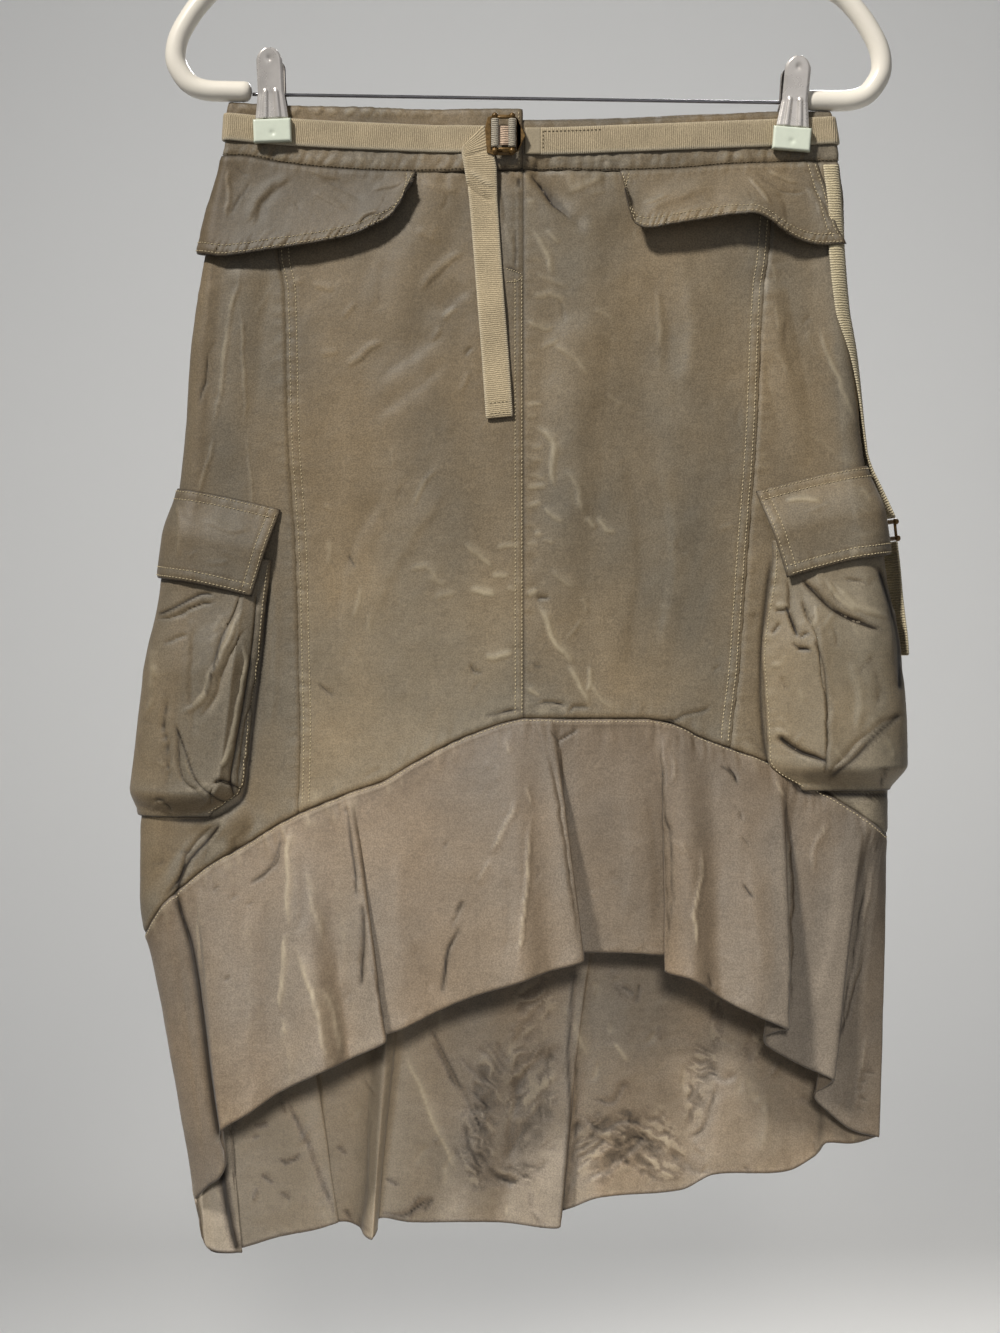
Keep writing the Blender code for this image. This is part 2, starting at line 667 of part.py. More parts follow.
def cylinder(name, radius, length, material, sides=12):
    mesh = bpy.data.meshes.new(name)
    work = bmesh.new()
    bmesh.ops.create_cone(
        work, cap_ends=True, segments=sides, radius1=radius * MM, radius2=radius * MM, depth=length * MM
    )
    work.to_mesh(mesh)
    work.free()
    return place(bpy.data.objects.new(name, mesh), material)


def sphere(name, radius, material):
    mesh = bpy.data.meshes.new(name)
    work = bmesh.new()
    bmesh.ops.create_uvsphere(work, u_segments=8, v_segments=5, radius=radius * MM)
    work.to_mesh(mesh)
    work.free()
    return place(bpy.data.objects.new(name, mesh), material)


def round_of(drop, side, station):
    """How far round from the side's outermost line a station is."""
    middle, half, edge = girth(drop)
    t = side * station
    if t <= 1:
        return math.pi * edge / 2 + (1 - t) * half
    if t <= 2:
        return (1.5 - t) * math.pi * edge
    return -math.pi * edge / 2 - (t - 2) * half


def build_hip_flaps(material):
    for name, hem_rows in HIP_FLAP_HEM.items():
        side = side_of(name)
        hem = smooth_table(hem_rows, "round", "drop")
        first, last = hem_rows[0].round, hem_rows[-1].round
        if first < 0:
            columns = [lambda drop: station_round(drop, side, first)]
            columns += between(lambda drop: side * 2.0, lambda drop: side * 1.0, 5)
            reached = 14.0
        else:
            columns = []
            reached = first
        rounds = spread((reached, 4), (last - 45, 3), (last - 16, 4), (last, 0))
        columns += [lambda drop, far=distance: station_round(drop, side, far) for distance in rounds]
        stand = HIP_FLAP_STAND[name]
        rows = 5
        grid = []
        for i in range(rows + 1):
            v = i / rows
            line = []
            for column in columns:
                drop = 60.0
                for _ in range(6):
                    station = column(drop)
                    distance = round_of(drop, side, station)
                    x = ring(drop, station).x
                    drop = lerp(BAND_SEAM_AT(x) + BAND_GAP, hem(distance), v)
                # The right flap's outer edge leans back towards the waist.
                lean = 9 * (1 - v) * ease(1 - (distance - first) / 40) if name == "right" else 0.0
                wave = 5.0 * ease(1 - abs(distance - 58) / 26) if name == "right" else 0.0
                out = CLOTH + 0.7 + (stand + wave) * v ** 1.7
                line.append(surface(drop, station_round(drop, side, distance + lean), out))
            grid.append(line if side < 0 else line[::-1])
        sheet(f"hip_flap_{name}", grid, CLOTH, material)


def build_cargo_bags(material):
    for name, bag in CARGO_BAG.items():
        side = side_of(name)
        # Half widths in parts of the way from the middle of the face to each edge.
        fold = 1 - bag.gusset_front / bag.front
        rounds = [t for t in (-1, -0.93, -0.86, -0.8, -0.55, -0.3, -0.1, 0.1, 0.3, 0.55) if t < fold - 0.08]
        rounds += [lerp(fold, 1, s) for s in (-0.12, 0, 0.25, 0.6, 1)]
        downs = (0, 0.12, 0.28, 0.45, 0.62, 0.76, 0.86, 0.92, 0.96, 1.0)
        grid = []
        for v in downs:
            drop = lerp(bag.top, bag.bottom, v)
            narrow = lerp(bag.top_part, 1, ease(v / 0.5)) * (1 - 0.24 * ease((v - 0.86) / 0.14) ** 1.5)
            line = []
            for t in rounds:
                width = bag.front if t > 0 else -bag.back
                gusset = bag.gusset_front if t > 0 else bag.gusset_back
                distance = t * width * narrow
                inside = (1 - abs(t)) * width / gusset
                rise = min(1.0, inside) ** 0.8
                floor = ease((1 - v) / 0.1)
                crown = lerp(bag.mouth, bag.height, ease((v - 0.1) / 0.35))
                crown *= lerp(bag.side_part, 1, ease(abs(t) / 0.75))
                out = CLOTH + 1.1 + crown * rise * floor
                line.append(surface(drop, station_round(drop, side, distance), out))
            grid.append(line if side < 0 else line[::-1])
        sheet(f"cargo_bag_{name}", grid, CLOTH, material)


def build_cargo_flaps(material):
    for name, flap in CARGO_FLAP.items():
        side = side_of(name)
        parts = spread((-1, 3), (-0.4, 8), (0.4, 3), (1, 0))
        rows = 5
        grid = []
        for i in range(rows + 1):
            v = i / rows
            line = []
            for t in parts:
                if t > 0:
                    end = lerp(flap.front, flap.front_hem, v)
                else:
                    end = -lerp(flap.back, flap.back_hem, v)
                top = lerp(flap.top_side, flap.top_front if t > 0 else flap.top_back, abs(t) ** 1.3)
                hem = lerp(flap.hem_side, flap.hem_front if t > 0 else flap.hem_back, abs(t) ** 1.3)
                drop = lerp(top, hem, v)
                stand = lerp(flap.side_stand, FLAP_STAND, ease(abs(t) / 0.7))
                out = CLOTH + 0.8 + stand * ease(v / 0.55) + 1.2 * v
                line.append(surface(drop, station_round(drop, side, t * end), out))
            grid.append(line if side < 0 else line[::-1])
        sheet(f"cargo_flap_{name}", grid, CLOTH, material)


def flounce_lines(folds, subdivisions):
    """Smooth fold lines through the table: each is (seam station, hem point)."""
    rows = []
    front = folds is FRONT_FOLDS
    for fold in folds:
        hem = Vector((fold.x, fold.depth, WAIST_Z - fold.drop))
        if abs(fold.seam_x) == SIDE_RIGHT:
            nudge = FLOUNCE_SEAM / 2 / (math.pi * BODY[-1].edge)
            station = math.copysign(1.5 - nudge, fold.seam_x)
        else:
            seam_drop = (HEM_FRONT_AT if front else HEM_BACK_AT)(fold.seam_x)
            station = station_of_x(seam_drop, fold.seam_x)
        station = station if front else 3 - station
        rows.append((station, hem))
    heads = []
    for i, (_, hem) in enumerate(rows):
        before, after = rows[max(i - 1, 0)][1], rows[min(i + 1, len(rows) - 1)][1]
        heads.append((after - before) / max((hem - before).length + (after - hem).length, 1e-6))
    lines = []
    for i in range(len(rows) - 1):
        (s0, p0), (s1, p1) = rows[i], rows[i + 1]
        length = (p1 - p0).length
        count = max(1, min(subdivisions, round(length / 6)))
        for k in range(count):
            t = k / count
            tangent = heads[i] * length * t * (1 - t) ** 2 + heads[i + 1] * length * t * t * (t - 1)
            point = p0 * (1 + 2 * t) * (1 - t) ** 2 + p1 * (3 - 2 * t) * t * t + tangent
            lines.append((lerp(s0, s1, t), point))
    return lines + [rows[-1]]


def seam_point(station):
    """The top of the flounce, on the body just below its seam."""
    drop = 450.0
    for _ in range(12):
        drop = flounce_seam(ring(drop, station).x, station)
    return surface(drop + FLOUNCE_SEAM / 2, station)


def build_flounce(name, folds, material):
    lines = flounce_lines(folds, 2)
    tops = [seam_point(station) for station, _ in lines]
    outward = -1 if folds is FRONT_FOLDS else 1
    grid = []
    for i in range(FLOUNCE_ROWS + 1):
        v = i / FLOUNCE_ROWS
        belly = Vector((0, outward * FLOUNCE_BELLY * math.sin(math.pi * v ** 0.8), 0))
        across = v ** FLOUNCE_SPREAD
        row = [(top.lerp(hem, across), lerp(top.z, hem.z, v)) for top, (_, hem) in zip(tops, lines)]
        grid.append([Vector((point.x, point.y, z)) + belly for point, z in row])
    sheet(name, grid, CLOTH, material)


def build_side_straps(webbing, brass):
    for name, rows in STRAP.items():
        side = side_of(name)
        middle = smooth_table(rows, "drop", "round")
        stand = smooth_table(rows, "drop", "out")
        first, last = rows[0].drop, rows[-1].drop
        half = WEBBING_WIDTH / 2

        def strip(drop, out, narrow=1.0):
            line = []
            for t in spread((-1, 6), (1, 0)):
                distance = middle(min(drop, last)) + t * half * narrow
                line.append(surface(drop, station_round(drop, side, distance), out))
            return line if side < 0 else line[::-1]

        count = 10
        drops = [lerp(first, last, i / count) for i in range(count + 1)]
        grid = [strip(drop, stand(drop)) for drop in drops]
        sheet(f"side_strap_{name}", grid, WEBBING, webbing)

        # The slider hangs from the strap's loop, and the tail from the slider.
        out = rows[-1].out
        station = station_round(last, side, middle(last))
        here = surface(last, station, out)
        across = (surface(last, station + 0.01, out) - surface(last, station - 0.01, out)).normalized()
        down = (surface(last + 5, station, out) - surface(last - 5, station, out)).normalized()
        turn = Matrix.Identity(4)
        outward = down.cross(across).normalized()
        for i, axis in enumerate((down, -outward, across)):
            turn.col[i][:3] = axis
        centre = here + down * (POST_SPACING / 2 + POST_RADIUS + SLIDER_GAP)
        centre += outward * (WEBBING / 2 + SLIDER_STAND)
        ladder(f"side_slider_{name}", Matrix.Translation(centre * MM) @ turn, brass)

        start = last + POST_SPACING + 2 * (POST_RADIUS + SLIDER_GAP)
        count = 5
        grid = []
        for i in range(count + 1):
            t = i / count
            grid.append(strip(start + TAIL_LENGTH[name] * t, out + TAIL_STAND * ease(t), TAIL_WIDTH))
        sheet(f"side_strap_tail_{name}", grid, WEBBING, webbing)


def hanger_path():
    """The right half of the hanger's tube, from the bar's end round to the neck."""
    low = BAR_Z + TUBE_RISE
    outline = (
        (TUBE_END_X, low), (187, low), (201, low + 0.6), (211, low + 4.5), (218.2, low + 14),
        (220.2, -205), (218.2, -194), (212, -182), (204, -171), (194, -161.5), (176, -152),
        (150, -141), (110, -125), (70, -109), (36, -94), (14, -84), (0, NECK_Z),
    )
    return [Vector((x, 0, z)) for x, z in outline]


def tilted(obj):
    """Hangs a part of the hanger a little lower on the right, turned about the bar's middle."""
    obj.parent = HANGER
    obj.matrix_parent_inverse = Matrix.Translation((0, 0, -BAR_Z * MM))
    return obj


def build_hanger(plastic, steel):
    right = hanger_path()
    left = [Vector((-point.x, point.y, point.z)) for point in right]
    tilted(tube("hanger_body", left + right[-2::-1], HANGER_TUBE_RADIUS, plastic, 2))
    reach = TUBE_END_X - SEAM
    ends = [(-reach, 0, BAR_Z), (0, 0, BAR_Z), (reach, 0, BAR_Z)]
    tilted(tube("hanger_bar", ends, BAR_RADIUS, steel, 2))
    centre_z = -HOOK_RADIUS
    radius = HOOK_RADIUS + HOOK_WIRE_RADIUS
    bend = [math.radians(angle) for angle in range(200, -61, -20)]
    points = [(radius * math.cos(a), 0, centre_z + radius * math.sin(a)) for a in bend]
    neck_x = math.sin(HANGER_TILT) * (NECK_Z - BAR_Z)
    points += [(6.5, 0, -49), (neck_x, 0, -57), (neck_x, 0, NECK_Z + HANGER_TUBE_RADIUS + SEAM)]
    tube("hanger_hook", points, HOOK_WIRE_RADIUS, steel, 2)


def build_clip(name, steel, rubber):
    """A sprung clip: two ribbed jaws either side of the bar, rubber pads and a spring."""
    Level = namedtuple("Level", "z width out")
    levels = (
        Level(31.5, 7, 12.2), Level(30.3, 11, 12.0), Level(27.5, 14, 11.6), Level(22, 15, 10.7),
        Level(6, 15, 8.4), Level(4, 15.6, 8.2), Level(-10.5, 19.5, 8.2),
    )
    rib_offset, rib_height = 0.34, 1.1
    pad_inner, pad_width, pad_thickness, pad_height = 5.9, 23.5, 4.6, 14.5
    pad_top = -11.2
    lean = Matrix.Rotation(CLIP_LEAN[name], 4, "Y")
    middle = Matrix.Translation(Vector((CLIP_X[name], 0, BAR_Z)) * MM)
    base = middle @ lean @ Matrix.Translation((0, 0, -CLIP_DROP * MM))
    for face, turn in (("front", Matrix.Identity(4)), ("back", Matrix.Rotation(math.pi, 4, "Z"))):
        grid = []
        for level in levels:
            line = []
            for t in (-1, -0.56, -0.34, -0.12, 0.12, 0.34, 0.56, 1):
                rib = rib_height * ease(1 - abs(abs(t) - rib_offset) / 0.22) if level.z <= 6 else 0.0
                line.append(Vector((t * level.width / 2, -level.out - rib, level.z)))
            grid.append(line)
        jaw = tilted(sheet(f"clip_{name}_jaw_{face}", grid, 1.0, steel))
        jaw.matrix_basis = base @ turn
        size = (pad_width, pad_thickness, pad_height)
        pad = tilted(box(f"clip_{name}_pad_{face}", size, rubber, 0.8))
        offset = Vector((0, -pad_inner - pad_thickness / 2, pad_top - pad_height / 2))
        pad.matrix_basis = base @ turn @ Matrix.Translation(offset * MM)

    coil = bpy.data.meshes.new(f"clip_{name}_spring")
    work = bmesh.new()
    inner, outer, half = BAR_RADIUS + 0.5, 4.0, 5.0
    corners = ((inner, 0, half), (outer, 0, half), (outer, 0, -half), (inner, 0, -half))
    profile = [work.verts.new(Vector(corner) * MM) for corner in corners]
    for i in range(4):
        work.edges.new((profile[i], profile[(i + 1) % 4]))
    work.to_mesh(coil)
    work.free()
    spring = tilted(place(bpy.data.objects.new(f"clip_{name}_spring", coil), steel))
    turning = spring.modifiers.new("turn", "SCREW")
    turning.axis = "Z"
    turning.steps = turning.render_steps = 12
    turning.use_merge_vertices = True
    turning.merge_threshold = 0.0001
    turning.use_smooth_shade = True
    spring.matrix_basis = middle @ Matrix.Rotation(math.pi / 2, 4, "Y")


for old in list(bpy.data.objects):
    bpy.data.objects.remove(old)
PARTS = bpy.data.collections.new("cargo_skirt")
CUTTERS = bpy.data.collections.new("cutters")
for collection in (PARTS, CUTTERS):
    bpy.context.scene.collection.children.link(collection)
HANGER = bpy.data.objects.new("hanger_frame", None)
PARTS.objects.link(HANGER)
HANGER.rotation_euler.y = HANGER_TILT
HANGER.location.z = BAR_Z * MM

SHELL = finish("shell_cloth", (0.22, 0.18, 0.13), 0.6)
FLOUNCE = finish("flounce_cloth", (0.25, 0.20, 0.15), 0.6)
BELT = finish("belt_webbing", (0.35, 0.28, 0.19), 0.8)
STRAP_WEBBING = finish("strap_webbing", (0.40, 0.36, 0.27), 0.8)
BRASS = finish("antique_brass", (0.11, 0.07, 0.025), 0.4, 1.0)
PLASTIC = finish("hanger_plastic", (0.89, 0.83, 0.72), 0.45)
STEEL = finish("clip_steel", (0.75, 0.74, 0.72), 0.2, 1.0)
RUBBER = finish("clip_pad", (0.68, 0.74, 0.64), 0.4)

build_waistband(SHELL)
build_panels(SHELL)
build_hip_flaps(SHELL)
build_cargo_bags(SHELL)
build_cargo_flaps(SHELL)
build_flounce("flounce_front", FRONT_FOLDS, FLOUNCE)
build_flounce("flounce_back", BACK_FOLDS, FLOUNCE)
build_belt(BELT, SHELL)
build_belt_tail(BELT)
build_buckle(BRASS, BELT)
build_side_straps(STRAP_WEBBING, BRASS)
build_hanger(PLASTIC, STEEL)
build_clip("left", STEEL, RUBBER)
build_clip("right", STEEL, RUBBER)
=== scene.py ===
"""How the cargo skirt and its hanger look: cloth, webbing, stitching, brass, chrome and plastic.

Lengths are in millimetres, as in the CAD, until a mesh is made. A drop is a distance below
WAIST_Z. The front faces -Y.
"""

import math
from collections import namedtuple

import bmesh
import bpy
import numpy as np
from mathutils import Matrix, Vector


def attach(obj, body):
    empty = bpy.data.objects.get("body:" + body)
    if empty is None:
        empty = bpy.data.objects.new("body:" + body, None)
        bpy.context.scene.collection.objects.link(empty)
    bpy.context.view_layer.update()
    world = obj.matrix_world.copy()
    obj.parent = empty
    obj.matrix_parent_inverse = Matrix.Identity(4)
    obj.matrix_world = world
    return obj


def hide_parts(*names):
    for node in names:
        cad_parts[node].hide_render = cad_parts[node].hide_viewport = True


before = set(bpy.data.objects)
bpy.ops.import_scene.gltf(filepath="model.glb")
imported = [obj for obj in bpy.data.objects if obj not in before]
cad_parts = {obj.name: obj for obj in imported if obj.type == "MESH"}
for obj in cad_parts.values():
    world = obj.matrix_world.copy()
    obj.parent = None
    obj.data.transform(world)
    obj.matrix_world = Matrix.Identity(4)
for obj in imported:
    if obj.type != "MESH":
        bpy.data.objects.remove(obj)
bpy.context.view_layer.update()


def table(kind, *rows):
    """A table's rows, with the columns that its kind names."""
    return tuple(kind(*row) for row in rows)


def pairs(values):
    """A flat list of numbers taken two by two."""
    return list(zip(values[::2], values[1::2]))


MM = 0.001
WAIST_Z = -234.0
CLOTH, BAND, WEBBING, WEBBING_WIDTH = 1.4, 1.6, 1.3, 16.0
SEAM, BAND_GAP, FLOUNCE_SEAM = 0.3, 0.5, 1.4
LAP = SEAM + BAND
FLY_X, LAP_END_X, UNDERLAP_X, BAND_WRAP = -3.0, -4.0, -30.0, 14.0
LAP_START_X, LAP_RISE = -62.0, 26.0

BAR_Z, TUBE_RISE, NECK_Z, TUBE_END_X = -229.0, 1.6, -81.0, 172.0
HANGER_TILT = math.radians(0.9)
HANGER_TUBE_RADIUS, BAR_RADIUS = 6.4, 1.1
HOOK_RADIUS, HOOK_WIRE_RADIUS = 22.0, 2.0
CLIP_X = {"left": -159.5, "right": 165.5}
CLIP_DROP = 6.0
CLIP_LEAN = {"left": math.radians(-3.2), "right": math.radians(3.8)}

# The body at a drop: how far from X 0 its left and right edges are, the radius of its edges,
# and how far its front and its back bulge.
Section = namedtuple("Section", "drop left right edge front back")
BODY = table(
    Section, (0, 186, 187.5, 1, 6, 3), (35, 189, 192.5, 1.6, 7, 3.5), (60, 194.5, 194.5, 3, 8, 4),
    (97, 200.5, 196, 5.5, 9, 5), (121, 204.5, 197.5, 7, 10, 5.5), (159, 209.5, 202, 9, 11, 6),
    (208, 212.5, 206.5, 11, 12, 6), (276, 220.5, 214.5, 13.5, 12, 7), (338, 227.5, 218.5, 15, 12.5, 7),
    (400, 234, 222, 16, 13, 8), (450, 240, 222.5, 17, 14, 9), (490, 240.5, 220, 17.5, 14.5, 9.5),
    (530, 235, 218, 18, 15, 10),
)
# Lines across the body: top edges, seams and the middle of the belt.
Across = namedtuple("Across", "x drop")
BAND_TOP_LEFT = table(
    Across, (-188, -2), (-153, 0.4), (-105, 1.9), (-56, 4.3), (0, 4.3),
)
BAND_TOP_RIGHT = table(
    Across, (-40, 11), (14, 11), (55, 10), (109, 7.2), (146, 4.4), (188, 3.8),
)
BAND_TOP_BACK = table(
    Across, (-188, -2), (-100, 2), (0, 8), (60, 7), (110, 5), (188, 3.8),
)
BAND_SEAM = table(
    Across, (-191, 31.6), (-180, 31.4), (-154, 35.7), (-133, 38.7), (-92, 41.8), (-55, 42.8), (0, 41.2),
    (45, 42.2), (86, 40.9), (132, 37), (194, 34.7),
)
BELT_MIDDLE = table(
    Across, (-188, 13), (-143, 17.3), (-92, 20.5), (-42, 23), (8, 24), (60, 22), (120, 19), (188, 15.5),
)
HEM_SEAM_FRONT = table(
    Across, (-238, 516), (-225, 496), (-213, 485), (-192, 469), (-179, 462), (-146, 442), (-108, 426),
    (-88, 419), (-69, 407.5), (-36, 391), (1, 381), (69, 381), (85, 383), (107, 393), (151, 410),
    (186, 429), (214, 447), (221, 453),
)
HEM_SEAM_BACK = table(
    Across, (-238, 516), (-200, 524), (-120, 531), (-20, 526), (60, 513), (150, 486), (221, 453),
)
# The x of the seams between the front and the side panels.
Princess = namedtuple("Princess", "drop left right")
PRINCESS = table(
    Princess, (30, -158, 154), (95, -155, 149), (115, -151, 146), (208, -148, 141), (283, -143, 135),
    (350, -141, 130), (392, -140, 125), (540, -146, 116),
)
# Large soft folds from one point to another. The side is -1 in front and 1 behind.
Soft = namedtuple("Soft", "side x0 drop0 x1 drop1 reach height")
BODY_FOLDS = table(
    Soft, (-1, -182, 443, -224, 496, 15, 4.5), (-1, -196, 456, -208, 484, 13, -3.5),
    (-1, 8, 42, 28, 72, 11, -3), (-1, -60, 60, -92, 150, 24, 2), (-1, 62, 90, 80, 240, 30, -2.2),
    (-1, -70, 180, -40, 330, 34, 2.4), (-1, 30, 150, 16, 350, 22, 2.2),
    (-1, 190, 60, 196, 200, 18, 1.5), (-1, 150, 120, 168, 215, 12, 2),
    (-1, -175, 110, -186, 215, 16, 2), (1, -90, 70, -60, 260, 30, 2.2), (1, 70, 60, 100, 280, 34, -2.2),
    (1, 30, 240, -10, 430, 30, 2.4), (1, -120, 300, -150, 470, 26, 2.2),
)
# Lines down the flounces: the x of each at the seam, then where it meets the hem.
Fold = namedtuple("Fold", "seam_x x depth drop")
SIDE_LEFT, SIDE_RIGHT = -1000, 1000
FRONT_FOLDS = table(
    Fold, (SIDE_LEFT, -207, 3, 681), (-221, -197, -13, 669), (-213, -190, -22, 663),
    (-210, -185.5, -28, 655), (-206, -184, -35.5, 644), (-203, -186, -43, 630), (-196, -169, -47, 618),
    (-165, -151, -44, 606), (-149, -124, -52, 592), (-125, -108, -41, 586), (-112, -87, -50, 575),
    (-107, -91, -41, 573), (-97, -77, -42, 568), (-61, -52, -40, 556), (-37, -32, -47, 547),
    (-12, -6, -56, 538), (1, 12, -50, 532), (11, 32, -44, 527), (15, 28, -35, 525), (19, 25, -26, 524),
    (29, 42, -23, 524), (60, 73, -24, 525), (74, 93, -25, 527), (78, 93, -34, 529), (83, 83, -43, 533),
    (95, 98, -50, 537), (110, 116, -43, 549), (129, 137, -48, 559), (153, 156, -43, 568),
    (158, 152, -35, 570), (162, 144, -27, 575), (167, 147, -19, 582), (182, 168, -18, 594),
    (205, 187, -17, 603), (209, 184, -9, 609), (213, 178, -2, 616), (217, 188, 1, 627),
    (219.5, 202, 4, 638), (SIDE_RIGHT, 220, 9, 644),
)
BACK_FOLDS = table(
    Fold, (SIDE_RIGHT, 220, 11, 644), (218, 206, 18, 650), (211, 188, 22, 651), (204, 182, 32, 662),
    (181, 166, 37, 672), (147, 119, 32, 673), (120, 98, 40, 685), (76, 47, 34, 688), (54, 29, 40, 696),
    (47, 17, 36, 700), (42, 21, 29, 706), (32, 8, 29, 706), (11, -14, 37, 705), (-17, -42, 31, 703),
    (-48, -75, 38, 705), (-68, -92, 41, 703), (-74, -97, 34, 704), (-79, -94, 24, 706),
    (-84, -98, 15, 710), (-88, -104, 23, 710), (-92, -108, 34, 707), (-98, -116, 40, 705),
    (-132, -129, 40, 706), (-144, -125, 33, 704), (-152, -120, 26, 702), (-162, -134, 24, 706),
    (-174, -157, 26, 711), (-186, -185, 22, 718), (-191, -194, 20, 716), (-196, -187, 13, 717),
    (-201, -179, 7, 716), (-212, -195, 4, 715), (-228, -202, 6, 711), (SIDE_LEFT, -207, 5, 686),
)
FLOUNCE_BELLY, FLOUNCE_SPREAD = 4.0, 0.8

# A hip flap's hem: how far round it is from the middle of the side, and its drop.
Hem = namedtuple("Hem", "round drop")
HIP_FLAP_HEM = {
    "left": table(
        Hem, (-12, 90), (0, 92.5), (14, 96), (42, 93), (72, 89), (91, 85), (105, 79.5), (114, 74),
        (119, 66), (122, 54),
    ),
    "right": table(
        Hem, (5, 87.5), (18, 88.7), (32, 86), (44, 80.5), (52, 75), (60, 72.5), (67, 72.5), (93, 76),
        (114, 79.5), (126, 81), (132, 79), (136, 72), (137, 58),
    ),
}
HIP_FLAP_STAND = {"left": 7.0, "right": 9.0}
# Cargo flaps: the drops of top and hem in front, at the side and behind, then how far they
# reach round from the middle of the side, above and at the hem.
Flap = namedtuple(
    "Flap",
    "top_front top_side top_back hem_front hem_side hem_back front back front_hem back_hem side_stand",
)
CARGO_FLAP = {
    "left": Flap(253, 239, 242, 306, 294, 298, 72, -72, 63, -66, 4.4),
    "right": Flap(241.6, 225, 230, 294.5, 279.5, 286, 77, -72, 66, -66, 6.8),
}
FLAP_STAND, FLAP_ROWS = 7.2, (1.6, 6.4)
# Cargo bags: their drops, how far they reach round from the middle of the side, how wide the
# gussets are, how far the mouth and the rest stand out, and what part of that the top's width
# and the middle of the side have.
Bag = namedtuple(
    "Bag", "top bottom front back gusset_front gusset_back mouth height top_part side_part"
)
CARGO_BAG = {
    "left": Bag(284, 441, 71, -71, 13, 13, 4.5, 13.0, 1.0, 0.5),
    "right": Bag(272, 425, 84, -71, 34, 13, 4.5, 12.5, 0.85, 0.82),
}
# Side straps: how far round from the middle of the side they run, and how far out.
Strap = namedtuple("Strap", "drop round out")
STRAP = {
    "right": table(
        Strap, (38, 2, 3), (60, 2, 3.1), (95, 4, 3), (128, 4, 2.7), (159, 1, 2.5), (195, -4, 2.6),
        (216, -7, 3.2), (226, -8, 5.2), (240, -8, 9.8), (258, -8, 15.6),
    ),
    "left": table(
        Strap, (38, -24, 2.3), (120, -25, 2.3), (195, -26, 2.6), (232, -26, 3.4), (242, -26, 5.4),
        (256, -26, 9.8), (272, -26, 13.6),
    ),
}
TAIL_LENGTH = {"right": 70.0, "left": 62.0}
TAIL_STAND, TAIL_WIDTH, SLIDER_GAP, SLIDER_STAND = 2.5, 0.94, 0.7, 1.4
# The belt tail's two edges, as seen, at even steps along it.
Tail = namedtuple("Tail", "left_x left_drop right_x right_drop")
BELT_TAIL = table(
    Tail, (-40.5, 28.5, -27.5, 15.5), (-40.5, 33, -22.5, 28.5), (-39, 41, -20, 41),
    (-36, 60, -19.5, 60), (-34, 84, -18, 84), (-31, 122, -15.5, 121), (-28, 160, -12.5, 158),
    (-25.5, 197, -10, 195.5),
)
BUCKLE_X, BUCKLE_DROP = -15.2, 21.0
POST_SPACING, POST_HEIGHT, POST_RADIUS, BALL_RADIUS = 10.6, 24.0, 1.4, 2.0
BALL_INSET, CROSS_INSET, PLATE_THICKNESS = 1.2, 2.2, 1.2

# The camera looks along +Y from in front of the middle of what it shows.
VIEW_X, VIEW_Z, VIEW_PLANE_Y, VIEW_DISTANCE = -17.4, -583.1, -8.0, 1350.0
VIEW_HEIGHT, SENSOR = 826.5, 36.0
SEEN_SHIFT = 0.35


# ---------------------------------------------------------------- numbers
def smooth_table(rows, key, column):
    """A smooth function of arrays through one column of a table, with no overshoot."""
    xs = np.array([getattr(row, key) for row in rows], float)
    ys = np.array([getattr(row, column) for row in rows], float)
    widths = np.diff(xs)
    steps = np.diff(ys) / widths
    a, b = steps[:-1], steps[1:]
    inner = np.where(a * b <= 0, 0.0, 2 * a * b / np.where(a * b <= 0, 1.0, a + b))
    slopes = np.concatenate([steps[:1], inner, steps[-1:]])

    def value(x):
        x = np.clip(x, xs[0], xs[-1])
        i = np.clip(np.searchsorted(xs, x, side="right") - 1, 0, len(widths) - 1)
        t = (x - xs[i]) / widths[i]
        near = ys[i] * (1 + 2 * t) + slopes[i] * widths[i] * t
        far = ys[i + 1] * (3 - 2 * t) + slopes[i + 1] * widths[i] * (t - 1)
        return near * (1 - t) ** 2 + far * t * t

    return value


def ease(t):
    t = np.clip(t, 0.0, 1.0)
    return t * t * (3 - 2 * t)


def lerp(a, b, t):
    return a + (b - a) * t


def bell(d, width):
    return np.exp(-np.square(d / width))


def unit(v):
    return v / np.maximum(np.linalg.norm(v, axis=-1, keepdims=True), 1e-9)


def distances(path):
    """How far along a path each of its points is."""
    return np.concatenate([[0], np.cumsum(np.linalg.norm(np.diff(path, axis=0), axis=-1))])


def through(points, spacing):
    """Even points along a smooth curve through the given ones."""
    p = np.array(points, float)
    p = np.concatenate([[2 * p[0] - p[1]], p, [2 * p[-1] - p[-2]]])
    t = np.linspace(0, 1, 16, endpoint=False)[:, None]
    fine = []
    for a, b, c, d in zip(p, p[1:], p[2:], p[3:]):
        fine.append(0.5 * (
            2 * b + (c - a) * t + (2 * a - 5 * b + 4 * c - d) * t * t
            + (3 * b - a - 3 * c + d) * t ** 3
        ))
    fine = np.concatenate(fine + [p[-2:-1]])
    walked = distances(fine)
    at = np.linspace(0, walked[-1], max(2, int(walked[-1] / spacing)))
    return np.stack([np.interp(at, walked, column) for column in fine.T], -1)


RANDOM = np.random.default_rng(11)
SHUFFLE = np.tile(RANDOM.permutation(256), 2)
SLOPES = unit(RANDOM.normal(size=(256, 3)))


